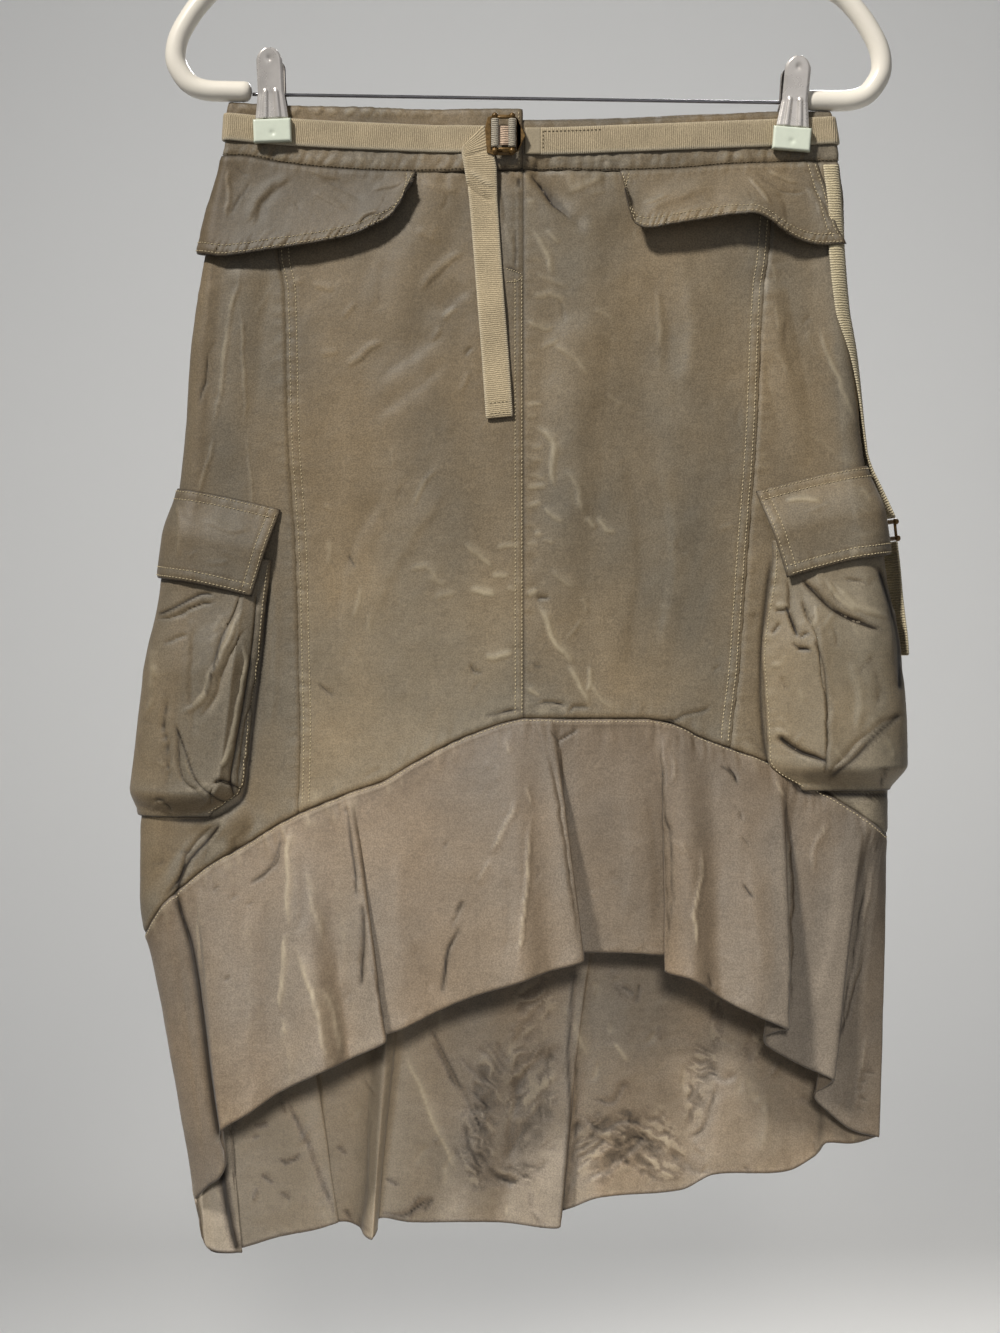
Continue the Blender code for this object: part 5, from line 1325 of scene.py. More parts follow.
            0.9, -0.8, -0.5, (-196.5, 489, -192, 485.5), (-184.5, 493.5, -179.5, 488.5),
            (-173.5, 498.5, -171, 494.5), (-188.5, 543.5, -183.5, 540.5), (130.5, 439.5, 132, 445),
            (205, 606.5, 211, 605.5), (204, 616, 210.5, 617.5), (206, 601, 216, 601),
            (203.5, 611, 208.5, 611.5), (203.5, 622, 208.5, 623.5),
        ),
    ),
    "flounce_back": (
        (1.5, -1, 0.5, -78, 586, -65.5, 613.5, -54.5, 641, -42.5, 665),
        (1.2, 1.2, -0.55, -58.5, 580.5, -49, 602.5, -43, 611.5),
        (1.4, 1.2, -0.5, -43.5, 605.5, -32.5, 627.5, -28, 642.5),
        (3, 2, -0.5, -39, 629, -35, 649.5, -27, 666, -14.5, 672),
        (2.6, 1.6, -0.45, -32.5, 643.5, -21.5, 663.5, -3.5, 669.5),
        (2, 1.4, -0.4, -16, 671.5, 1, 663.5, 14.5, 655),
        (5, 2.4, -0.3, 25.5, 580.5, 6.5, 594, -5, 605.5, -7.5, 630, -16, 656.5),
        (4, 2, -0.3, 12.5, 610, 1, 630, -16, 659), (2.4, -1.4, 0.2, 3.5, 611, -5, 622, -10.5, 644),
        (2.2, -1.2, 0.24, 17.5, 597, 9, 608, 1, 624.5),
        (1, 1, -0.5, 30, 580.5, 30, 622, 27, 663.5, 20, 696.5),
        (2, 1.4, -0.42, 31, 624.5, 45, 635.5, 61.5, 630, 81.5, 636.5),
        (2, 1.4, -0.42, 34, 635.5, 56, 647, 67, 641, 90, 653),
        (3.4, 2, -0.42, 30.5, 669.5, 48, 660.5, 64.5, 647, 76.5, 635),
        (2.2, 1.4, -0.38, 53.5, 652.5, 70, 660.5, 85, 669.5),
        (2.4, 1.4, -0.38, 84, 646, 103, 660.5, 115.5, 661),
        (1.5, 1.2, -0.42, 39, 616.5, 53.5, 619, 59, 607.5, 65, 617),
        (3.4, 1.8, -0.4, 111, 596.5, 122.5, 605.5, 129, 599),
        (2.4, 1.5, -0.4, 117.5, 604.5, 113, 622, 108.5, 635.5, 97, 642),
        (1.4, -1, 0.26, 39.5, 630.5, 53.5, 640, 64.5, 637),
        (1.4, -1, 0.26, 67, 632, 87, 645, 100.5, 653),
        (1.4, -1, 0.22, 72.5, 653, 84, 662.5, 97.5, 666.5), (2, -1, 0.16, 34, 651, 45, 653, 53.5, 647),
        (1.5, 1.3, -0.65, -92, 687, -76.5, 689, -59, 677), (1.3, -0.8, 0.42, 51.5, 580.5, 62, 594.5),
        (1.1, 0.8, -0.4, 167.5, 616, 175.5, 619.5), (1.1, 0.8, -0.35, 133, 658.5, 137, 663),
        (1.6, -0.9, 0.2, -96.5, 597, -98.5, 635.5, -98, 699.5),
        (3, -1, 0.12, 144.5, 608, 147.5, 630, 144.5, 652.5),
        (1.6, -0.9, 0.3, 20, 555.5, 29, 574, 38.5, 592.5), (1, 0.9, -0.5, 57, 546, 65.5, 553.5),
        (1, 0.9, -0.5, 69.5, 544.5, 65, 558.5),
        *alike(
            1.1, 0.9, -0.35, (-32.5, 582.5, -14.5, 603.5), (-27, 580.5, -12.5, 600.5),
            (-21, 580.5, -11, 594.5), (-43.5, 588.5, -18.5, 617), (-38.5, 610, -15.5, 628),
            (-32.5, 597, -16, 613.5), (-28.5, 616.5, -18.5, 635.5),
        ),
        *alike(
            0.9, 0.9, -0.45, (-155.5, 653.5, -148.5, 656.5, -140, 650.5), (-171, 633, -160.5, 633),
            (-171.5, 640, -165.5, 639.5), (-119, 645, -112, 651), (-88.5, 666, -79, 670.5),
            (-65, 687, -59, 677), (-113.5, 685, -109.5, 692), (-165.5, 663.5, -158, 669),
            (-153, 674.5, -148, 679),
        ),
    ),
    "belt_tail": (
        (2.2, -1.6, -0.3, -40.5, 46, -33.5, 54.5, -19.5, 61.5),
        (1.6, 1.2, 0.25, -37, 39.5, -30, 47, -19.5, 52),
        (1.4, -0.8, -0.25, -40.5, 33, -33.5, 31.5, -20, 26),
    ),
    "waistband_front_left": (
        (1.2, 0.5, 0.2, -181, 1.5, -171, 3.5, -160, 3.5),
        *ticks(
            1, 0.5, 0.22, 8, 2.5,
            -123, -117, -113.5, -108, -105.5, -100, -97, -91, -87, -81.5, -78, -72.5, -68, -62.5, -59.5,
            -54,
        ),
        *ticks(
            1.3, 0.55, 0.16, 36.5, 31.5,
            -177.5, -178.5, -169.5, -167.5, -161, -162.5, -153, -151.5, -145, -146.5, -137, -135, -129,
            -130, -121, -119, -113, -114, -105, -103, -97, -98, -88.5, -87, -80.5, -82, -72.5, -70.5,
            -64.5, -66, -56.5, -54.5, -48.5, -49.5, -40.5, -38.5, -32.5, -33.5, -24, -22.5,
        ),
        *ticks(
            1.5, 0.8, 0.24, 7.5, 2,
            -181, -177.5, -165, -159.5, -147.5, -140, -131.5, -126.5, -113, -105.5, -101.5, -96, -92,
            -84.5, -82, -77, -72, -64.5, -63.5, -57,
        ),
    ),
    "waistband_front_right": (
        (1.1, -1, -0.7, -1.5, 32.5, 2.5, 38.5, 6, 42), (1, 0.4, 0.2, 20, 36.5, 44.5, 34.5, 69.5, 35.5),
        *ticks(
            1.3, 0.55, 0.16, 34.5, 30.5,
            20, 19, 29, 31.5, 38.5, 38, 47.5, 50, 57, 56.5, 66.5, 69, 75.5, 75, 85, 87.5, 94, 93.5,
            103.5, 106, 113, 112, 122, 124.5, 131.5, 131, 140.5, 143, 150, 149.5, 159.5, 162, 168.5,
            168, 178, 180.5, 187, 186.5, 196.5, 199,
        ),
        *ticks(
            1.3, 0.5, 0.16, 10.5, 7,
            23, 28.5, 44.5, 52, 69.5, 75.5, 100.5, 108, 128.5, 134, 150, 157,
        ),
    ),
}
# Creases whose two sides stand apart: step, then as above.
LEDGES = {
    "cargo_bag_right": (
        (
            -0.7, 1.6, -1, -0.12, 168.5, 294, 170.5, 310.5, 176, 323, 181, 344.5, 185.5, 375.5,
            185.5, 406.5, 184, 418.5,
        ),
    ),
    "flounce_front": (
        (1.3, 0.9, -0.8, -0.6, -97.5, 529, -94.5, 546, -91, 565, -89, 578.5),
        (
            -1.2, 0.9, -0.8, -0.6, 82.5, 385, 82.5, 405, 85, 428.5, 88.5, 455, 89.5, 483.5,
            87.5, 512, 86.5, 537.5,
        ),
        (1.8, 1.1, -0.6, -0.6, 158, 425.5, 162.5, 468.5, 163.5, 518.5, 162, 574),
        (-1.6, 1.2, -0.8, -0.7, 214, 457.5, 204.5, 512, 196, 561.5, 188.5, 604),
        (1.6, 1, -0.6, -0.45, 11.5, 395.5, 20, 444, 27, 493.5, 32, 524.5),
        (-1.4, 1, -0.6, -0.45, 82, 397.5, 84.5, 444, 85.5, 493.5, 88, 529.5),
    ),
    "flounce_back": (
        (-1.2, 1, 0.8, -0.5, -150.5, 614.5, -137.5, 644, -126.5, 671.5, -118, 693),
    ),
}


def creases_of(name):
    """A piece's rows of both tables."""
    rows = [Crease(pairs(row[3:]), row[0], row[1], 0, row[2]) for row in CREASES.get(name, ())]
    for step, reach, height, pale, *path in LEDGES.get(name, ()):
        rows.append(Crease(pairs(path), reach, height, step, pale))
    return rows


# ---------------------------------------------------------------- body panels
SEAM_ROWS, FLY_ROWS = (2.6, 6.9), (1.1, 5.0)
BAR_TACK = (
    ((-14.3, 101.7), (-8.7, 103.5), (-3.1, 106.6)),
    ((-3.1, 106.6), (-6.0, 109.5), (-14.3, 110.3)),
)
SCATTER = {
    "panel_front_left": 18, "panel_front_right": 18, "panel_side_left": 16, "panel_side_right": 16,
    "panel_back_left": 40, "panel_back_right": 40,
}


def build_panels():
    gap = SEAM / 2
    left, right = PRINCESS_AT["left"], PRINCESS_AT["right"]
    fly_left, fly_right = (front_x(constant(FLY_X), shift) for shift in (-gap, gap))
    layout = {
        "panel_front_left": ((front_x(left, gap), fly_left), (126,), 284),
        "panel_front_right": ((fly_right, front_x(right, -gap)), (126,), 284),
        "panel_side_left": (
            (
                lambda drop: back_x(left, -gap)(drop) - 6, constant(-2), constant(-1),
                front_x(left, -gap),
            ),
            (12, 22, 68), 250,
        ),
        "panel_side_right": (
            (front_x(right, gap), constant(1), constant(2), back_x(right, gap)), (68, 22, 12), 250,
        ),
        "panel_back_right": ((back_x(right, -gap), back_x(constant(gap))), (60,), 140),
        "panel_back_left": ((back_x(constant(-gap)), back_x(left, gap)), (60,), 140),
    }
    made = {}
    for name, (edges, counts, rows) in layout.items():
        drops, stations = columns_between(edges, counts, below_band, above_flounce, rows)
        cloth = Cloth(surface(drops, stations))
        front = in_front(stations)
        crinkle(cloth, 0.8)
        seam(cloth, "top", roll=1.1, pucker=0.6, pitch=6, width=8, seed=3.3, dark=0.8)
        seam(cloth, "bottom", roll=0.9, pucker=0.45, pitch=7, width=6, seed=8.1)
        if name == "panel_front_left":
            seam(cloth, "left", SEAM_ROWS, pucker=0.4, dark=0.2)
            seam(cloth, "right", FLY_ROWS, roll=0.4, pucker=0.25, seed=2, dark=0.15)
        elif name == "panel_front_right":
            seam(cloth, "right", SEAM_ROWS, pucker=0.4, seed=5, dark=0.2)
            seam(cloth, "left", roll=0.35, pucker=0.2, seed=6, dark=0.75)
        else:
            seam(cloth, "left", pucker=0.3, seed=4, dark=0.2)
            seam(cloth, "right", pucker=0.3, seed=9, dark=0.2)
        scatter(cloth, SCATTER[name], len(made) + 5)
        crease(cloth, creases_of(name), front, strength=0.62 if "side" in name else 1.05)
        # Painted shade: the left side panel is made a little darker all over.
        if name == "panel_side_left":
            cloth.pale -= 0.08
        # Painted light and shade: the left front panel grows darker towards its top and a little lighter
        # low down.
        if name == "panel_front_left":
            cloth.pale += 0.06 - 0.2 * ease((340 - drops) / 200)
        gaps(cloth, name, front)
        made[name] = cloth
    stitch_edge(STITCHES, made["panel_front_left"], "left", SEAM_ROWS, (4, 2))
    stitch_edge(STITCHES, made["panel_front_right"], "right", SEAM_ROWS, (4, 2))
    stitch_edge(STITCHES, made["panel_front_left"], "right", FLY_ROWS, (69, 2))
    for path in BAR_TACK:
        STITCHES.run(*pinned(made["panel_front_left"], path), 1.5, 1.1)
    for name, cloth in made.items():
        cloth_piece(name, cloth, SHELL)


# ---------------------------------------------------------------- waistband and belt
def lap_out(drop, station):
    """How far the lapping end stands out over the other one."""
    x = ring(drop, station)[..., 0]
    return np.where(in_front(station), LAP * ease((x - LAP_START_X) / LAP_RISE), 0.0)


def flat_out(drop, station):
    return 0.0


def round_edges(side, wrap, front_end):
    """A front piece's edges: round on the back, the two ends of the side, and its front end."""
    edges = (
        lambda drop: station_round(drop, side, -wrap), constant(side * 2.0), constant(side * 1.0),
        front_end,
    )
    return edges if side < 0 else edges[::-1]


def back_edges(wrap):
    """A back piece's two edges, which leave a seam's gap beside those of the front ones."""
    return (
        lambda drop: station_round(drop, 1, -wrap - SEAM),
        lambda drop: 6 + station_round(drop, -1, -wrap - SEAM),
    )


def band_top(rows):
    top_at = smooth_table(rows, "x", "drop")
    return lambda x, station: top_at(x)


def belt_edge(shift):
    return lambda x, station: BELT_AT(x) + shift * WEBBING_WIDTH / 2


def build_waistband():
    left = round_edges(-1, BAND_WRAP, front_x(constant(LAP_END_X)))
    right = round_edges(1, BAND_WRAP, front_x(constant(UNDERLAP_X)))
    layout = {
        "waistband_front_left": (left, (8, 8, 150), BAND_TOP_LEFT, lap_out),
        "waistband_front_right": (right, (170, 8, 8), BAND_TOP_RIGHT, flat_out),
        "waistband_back": (back_edges(BAND_WRAP), (150,), BAND_TOP_BACK, flat_out),
    }
    for name, (edges, counts, top, out) in layout.items():
        drops, stations = columns_between(edges, counts, band_top(top), above_band_seam, 26)
        cloth = Cloth(surface(drops, stations, out(drops, stations)), BAND)
        p = cloth.points
        slant = np.stack([(p[..., 0] + 0.55 * p[..., 2]) / 7.5, p[..., 2] / 34.0, p[..., 1] * 0], -1)
        belt_reach = WEBBING_WIDTH / 2 + 1.5
        under_belt = np.maximum(0, 1 - np.abs(drops - BELT_AT(p[..., 0])) / belt_reach)
        free = 0.12 + 0.88 * ease(1 - under_belt * 4)
        # Puckers over the band, which is also painted a little darker all over, as shade.
        cloth.lift((noise(slant) * 0.8 + noise(slant * 2.1) * 0.4) * free, -0.08)
        seam(cloth, "bottom", (1.7,), roll=0.9, pucker=0.8, pitch=5.0, width=6, seed=1.7, dark=0.7)
        seam(cloth, "top", roll=0.7, pucker=0.25, pitch=6, width=4, seed=4.4)
        for end in ("left", "right"):
            seam(cloth, end, roll=0.5, pucker=0.1, seed=6)
        crease(cloth, creases_of(name), in_front(stations))
        stitch_edge(DARK_STITCHES, cloth, "bottom", (1.7,), (3, 3))
        if name == "waistband_front_left":
            stitch_edge(STITCHES, cloth, "right", (2.0,), (1, 1))
        cloth_piece(name, cloth, SHELL)


def selvedge(cloth):
    """The pale tight edges of a woven tape, and its slight crown."""
    edges = bell(cloth.top, 0.9) + bell(cloth.bottom, 0.9)
    cloth.lift(-0.25 * edges, 0.5 * bell(cloth.bottom, 1.1) + 0.125 * bell(cloth.top, 1.0))


def webbing_piece(node, cloth, material):
    shell(f"{node}_webbing", cloth, material, node)


def build_belt():
    wrap = BAND_WRAP + 2
    left_end = front_x(constant(BUCKLE_X - POST_SPACING / 2 - 1))
    layout = {
        "belt_front_left": (round_edges(-1, wrap, left_end), (6, 8, 160), lap_out),
        "belt_front_right": (round_edges(1, wrap, front_x(constant(8.0))), (160, 8, 6), flat_out),
        "belt_back": (back_edges(wrap), (120,), flat_out),
        "belt_tab": ((front_x(constant(-1.5)), front_x(constant(7.7))), (10,), flat_out),
    }
    for name, (edges, counts, out) in layout.items():
        drops, stations = columns_between(edges, counts, belt_edge(-1), belt_edge(1), 14)
        cloth = Cloth(surface(drops, stations, BAND + SEAM + out(drops, stations)), WEBBING)
        cloth.lift(0.35 + 0.3 * rough(cloth.points, (26, 26, 12), 2.2))
        if name == "belt_tab":
            cloth.pale += 0.3
        else:
            selvedge(cloth)
        crease(cloth, creases_of(name), in_front(stations))
        if name == "belt_front_right":
            stitch_edge(DARK_STITCHES, cloth, "left", (1.2,), (1, 1))
            stitch_edge(DARK_STITCHES, cloth, "top", (2.2,), (1, 0), lambda path: path[:, 0] < 46)
        if name == "belt_tab":
            cloth_piece(name, cloth, SHELL)
        else:
            webbing_piece(name, cloth, BELT)


def side_edges(cloth):
    """1 at the left and right edges of a strip, down to 0 in its middle."""
    return bell(cloth.left, 1.0) + bell(cloth.right, 1.0)


def build_belt_tail():
    hang = buckle_face() + LAP + BAND + WEBBING + 3 * SEAM
    rows, cols = 150, 18
    at = np.linspace(0, len(BELT_TAIL) - 1, rows + 1)
    index = np.arange(len(BELT_TAIL))
    left_x, left_drop, right_x, right_drop = (
        np.interp(at, index, column)[:, None] for column in zip(*BELT_TAIL)
    )
    t = np.linspace(0, 1, cols + 1)[None, :]
    x = lerp(left_x, right_x, t)
    drop = lerp(left_drop, right_drop, t)
    face = surface(drop, station_of_x(drop, x), CLOTH)[..., 1] - 0.9
    level = face.mean(axis=1, keepdims=True) * 0.8 + face * 0.2
    # The tail hangs from the buckle and rests on the cloth where that stands further out.
    sharpness = 2.0
    y = -np.logaddexp(hang * sharpness, -level * sharpness) / sharpness
    cloth = Cloth(np.stack([x, y, WAIST_Z - drop], -1), WEBBING)
    cloth.level = True
    edges = side_edges(cloth)
    ripple = rough(cloth.points, (30, 30, 26), 5.5) * 0.9
    cloth.lift(ripple - 0.25 * edges + 0.5, 0.28 * edges)
    crease(cloth, creases_of("belt_tail"))
    stitch_edge(STITCHES, cloth, "bottom", (2.5, 9.0), (1.5, 1.5))
    webbing_piece("belt_tail", cloth, TAIL)


def piece(name, node, material, slot, build, *values, bevel=0.0):
    """A smooth solid that takes a node's place: build fills a bmesh in mm from the values."""
    work = bmesh.new()
    build(work, *values)
    for vert in work.verts:
        vert.co *= MM
    mesh = bpy.data.meshes.new(name)
    bmesh.ops.recalc_face_normals(work, faces=work.faces)
    work.to_mesh(mesh)
    work.free()
    for polygon in mesh.polygons:
        polygon.use_smooth = True
    obj = dress(name, mesh, material)
    if bevel:
        rounding = obj.modifiers.new("edges", "BEVEL")
        rounding.width = bevel * MM
        rounding.segments = 2
        rounding.harden_normals = True
    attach(obj, "root")
    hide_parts(node)


def circle(work, matrix, centre, radius, u, w, sides):
    """A ring of vertices in the plane of u and w."""
    return [
        work.verts.new(matrix @ Vector(centre + radius * (math.cos(a) * u + math.sin(a) * w)))
        for a in np.arange(sides) * 2 * math.pi / sides
    ]


def join(work, low, high):
    """Faces between two rings of vertices."""
    for i in range(len(low)):
        j = (i + 1) % len(low)
        work.faces.new((low[i], low[j], high[j], high[i]))


def skin(work, rings):
    """Faces along a row of rings of vertices, and over its two ends."""
    for low, high in zip(rings, rings[1:]):
        join(work, low, high)
    work.faces.new(rings[0])
    work.faces.new(rings[-1])


def lathe(work, profile, matrix, sides=20):
    """A turned form from (radius, height) pairs along its own Z, closed at both ends."""
    x, y, z = np.eye(3)
    skin(work, [circle(work, matrix, height * z, radius, x, y, sides) for radius, height in profile])


def post_profile():
    """A post with a ball on each end."""
    middle = POST_HEIGHT / 2 - BALL_INSET
    low = [
        (max(0.15, BALL_RADIUS * math.cos(a)), BALL_RADIUS * math.sin(a) - middle)
        for a in np.linspace(-1.5, 0.8, 9)
    ]
    return low + [(r, -z) for r, z in low[::-1]]


def ladder_solid(work, matrix):
    """Two posts with two thinner bars across them."""
    half = POST_SPACING / 2
    bar_profile = [(0.5, -half), (0.95, -half + 0.5), (0.95, half - 0.5), (0.5, half)]
    for side in (-1, 1):
        lathe(work, post_profile(), matrix @ Matrix.Translation((side * half, 0, 0)))
        height = side * (POST_HEIGHT / 2 - CROSS_INSET)
        bar = matrix @ Matrix.Translation((0, 0, height)) @ Matrix.Rotation(math.pi / 2, 4, "Y")
        lathe(work, bar_profile, bar, 12)


def plate_solid(work, outline, hole, centre, back):
    """A flat plate with a hole, facing the front."""
    layers = [
        [[work.verts.new(centre + Vector((x, y, z))) for x, z in points] for points in (outline, hole)]
        for y in (-back - PLATE_THICKNESS, -back)
    ]
    for loops in layers:
        edges = [work.edges.new(ends) for loop in loops for ends in zip(loop, loop[1:] + loop[:1])]
        bmesh.ops.triangle_fill(work, edges=edges, use_beauty=True)
    for front, rear in zip(*layers):
        join(work, front, rear)


def buckle_face():
    """How far in front of the XZ plane the body is behind the buckle."""
    return abs(ring(BUCKLE_DROP, station_of_x(BUCKLE_DROP, BUCKLE_X))[1])


def build_buckle():
    centre = Vector((BUCKLE_X, 0, WAIST_Z - BUCKLE_DROP))
    plate_back = buckle_face() + LAP + BAND + 2 * WEBBING + 5 * SEAM
    post_depth = plate_back + PLATE_THICKNESS + BALL_RADIUS + SEAM
    half = POST_SPACING / 2
    outline = (
        (-half - 5.0, -11.5), (-half - 6.2, 4), (-half - 4.5, 10.5), (-half, 12), (half, 12),
        (half + 4, 9), (half + 8.2, -1), (half + 4, -10), (half, -13), (-half, -13),
    )
    hole = ((-half - 2.4, -10), (half + 2.6, -10), (half + 2.6, 9.5), (-half - 2.4, 9.5))
    piece(
        "buckle_plate_brass", "buckle_plate", BRASS, "antique_brass",
        plate_solid, outline, hole, centre, plate_back, bevel=0.4,
    )
    frame_at = Matrix.Translation(centre + Vector((0, -post_depth, 0)))
    piece("buckle_frame_brass", "buckle_frame", BRASS, "antique_brass", ladder_solid, frame_at)

    # The webbing laced over both posts, seen as two narrow loops and a wider strip between them.
    around = POST_RADIUS + SEAM
    turn = np.radians(np.linspace(200, 340, 13))
    loop = np.stack([around * np.cos(turn), around * np.sin(turn)], -1)
    x = np.linspace(-half + around + 0.5, half - around - 0.5, 11)
    strips = (
        ("left", loop + (-half, -post_depth), (8.4, -8.4), LOOP_WEBBING),
        ("right", loop + (half, -post_depth), (8.4, -8.4), LOOP_WEBBING),
        ("middle", np.stack([x, -post_depth + 0.9 - 0.3 * np.cos(x)], -1), (4.2, -7.0), PINK_WEBBING),
    )
    for name, section, ends, material in strips:
        z = centre.z + np.linspace(*ends, 22)[:, None]
        across, out = section.T
        cloth = Cloth(np.stack(np.broadcast_arrays(centre.x + across, out, z), -1), 0.8)
        shell(f"buckle_webbing_{name}", cloth, material, "buckle_webbing")


# ---------------------------------------------------------------- flaps and pockets
def laid(side, drop, distance, out):
    """Points over the body at a distance round it from its side, and which are in front."""
    station = station_round(drop, side, distance)
    grids = np.broadcast_arrays(drop, station, out)
    drop, station, out = (grid if side < 0 else grid[:, ::-1] for grid in grids)
    return surface(drop, station, out), in_front(station)


def build_hip_flaps():
    for name, hem_rows in HIP_FLAP_HEM.items():
        node, side, right = "hip_flap_" + name, side_of(name), name == "right"
        hem = smooth_table(hem_rows, "round", "drop")
        first, last = hem_rows[0].round, hem_rows[-1].round
        curve = last - 24  # the hem turns up here, and its columns are closer
        distance = np.concatenate([
            np.linspace(first, curve, 130)[:-1], np.linspace(curve, last, 34),
        ])[None, :]
        v = np.linspace(0, 1, 73)[:, None]
        drop = np.full((73, distance.shape[1]), 60.0)
        for _ in range(6):
            x = ring(drop, station_round(drop, side, distance))[..., 0]
            drop = lerp(BAND_SEAM_AT(x) + BAND_GAP, hem(distance), v)
        inner = ease((distance - first) / 45)  # the outer end lies closer to the hip
        stand = HIP_FLAP_STAND[name] * (0.4 + 0.6 * inner) + (3.5 if right else 1.5) * inner
        if right:
            stand = stand + 5.0 * ease(1 - np.abs(distance - 58) / 26)
            distance = distance + 9 * (1 - v) * ease(1 - (distance - first) / 40)
        points, front = laid(side, drop, distance, CLOTH + 0.7 + stand * v ** 1.7)
        cloth = Cloth(points)
        crinkle(cloth, 0.7, 20.0)
        # Painted shade: both hip flaps are made darker, the left one much more.
        cloth.pale -= 0.09 if right else 0.36
        scatter(cloth, 16, 51 + side, 0.8)
        inner_end, outer_end = ("left", "right") if right else ("right", "left")
        seam(cloth, "top", (1.8,), roll=0.8, pucker=0.25, width=4, seed=1)
        seam(cloth, "bottom", (1.4, 6.0), roll=0.6, pucker=0.9, pitch=2.9, width=5, seed=2)
        seam(cloth, inner_end, (1.8, 5.4), roll=0.6, pucker=0.25, width=5, seed=3)
        seam(cloth, outer_end, (1.8, 6.0), roll=0.6, pucker=0.2, width=5, seed=3)
        crease(cloth, creases_of(node), front)
        stitch_edge(STITCHES, cloth, "bottom", (1.6, 6.6), (2, 2))
        stitch_edge(STITCHES, cloth, inner_end, (1.8, 5.4), (1, 2))
        stitch_edge(STITCHES, cloth, outer_end, (1.8, 6.0), (1, 2))
        cloth_piece(node, cloth, SHELL)


def build_cargo_bags():
    for name, bag in CARGO_BAG.items():
        node, side = "cargo_bag_" + name, side_of(name)
        fold = 1 - bag.gusset_front / bag.front
        t = np.concatenate([
            np.linspace(-1, -0.78, 17)[:-1], np.linspace(-0.78, fold - 0.1, 80)[:-1],
            np.linspace(fold - 0.1, fold + 0.06, 22)[:-1], np.linspace(fold + 0.06, 1, 26),
        ])[None, :]
        v = np.concatenate([np.linspace(0, 0.84, 114)[:-1], np.linspace(0.84, 1, 32)])[:, None]
        narrow = lerp(bag.top_part, 1, ease(v / 0.5)) * (1 - 0.24 * ease((v - 0.86) / 0.14) ** 1.5)
        width = np.where(t > 0, bag.front, -bag.back)
        gusset = np.where(t > 0, bag.gusset_front, bag.gusset_back)
        rise = np.minimum(1.0, (1 - np.abs(t)) * np.abs(width) / gusset) ** 0.8
        crown = lerp(bag.mouth, bag.height, ease((v - 0.1) / 0.35))
        crown = crown * lerp(bag.side_part, 1, ease(np.abs(t) / 0.75)) * ease((1 - v) / 0.1)
        drop = np.broadcast_to(lerp(bag.top, bag.bottom, v), narrow.shape) + 0 * t
        points, front = laid(side, drop, t * width * narrow, CLOTH + 1.1 + crown * rise)
        cloth = Cloth(points)
        crinkle(cloth, 0.85, 40.0 if side < 0 else 52.0)
        scatter(cloth, 30, 31 + side, 0.6, strength=1.3)
        for end in ("left", "right", "bottom"):
            seam(cloth, end, roll=0.5, pucker=0.3, seed=7)
        crease(cloth, creases_of(node), front, relief=1.0)
        gaps(cloth, node, front)
        stitch_edge(STITCHES, cloth, "right" if side < 0 else "left", (2.2,), (2, 2))
        # Painted light and shade: the right bag is made lighter, the left one a little darker.
        cloth.pale += 0.1 if side > 0 else -0.02
        cloth_piece(node, cloth, SHELL)


def build_cargo_flaps():
    for name, flap in CARGO_FLAP.items():
        node, side = "cargo_flap_" + name, side_of(name)
        t = np.linspace(-1, 1, 150)[None, :]
        v = np.linspace(0, 1, 60)[:, None]
        end = np.where(t > 0, lerp(flap.front, flap.front_hem, v), -lerp(flap.back, flap.back_hem, v))
        bow = np.abs(t) ** 1.3
        top = lerp(flap.top_side, np.where(t > 0, flap.top_front, flap.top_back), bow)
        hem = lerp(flap.hem_side, np.where(t > 0, flap.hem_front, flap.hem_back), bow)
        stand = lerp(flap.side_stand, FLAP_STAND, ease(np.abs(t) / 0.7))
        out = CLOTH + 0.8 + stand * ease(v / 0.55) + 1.2 * v
        points, front = laid(side, lerp(top, hem, v), t * end, out)
        cloth = Cloth(points)
        crinkle(cloth, 0.55, 60.0 if side < 0 else 71.0)
        # Painted shade: the left flap is made darker.
        cloth.pale -= 0.18 if side < 0 else 0.0
        scatter(cloth, 12, 41 + side, 0.9, strength=0.8)
        for edge, pucker in (("top", 0.3), ("bottom", 0.4), ("left", 0.25), ("right", 0.25)):
            seam(cloth, edge, FLAP_ROWS, roll=0.6, pucker=pucker, pitch=4.4, width=5, seed=len(edge))
            stitch_edge(STITCHES, cloth, edge, FLAP_ROWS, (2, 2))
        crease(cloth, creases_of(node), front)
        cloth_piece(node, cloth, SHELL)


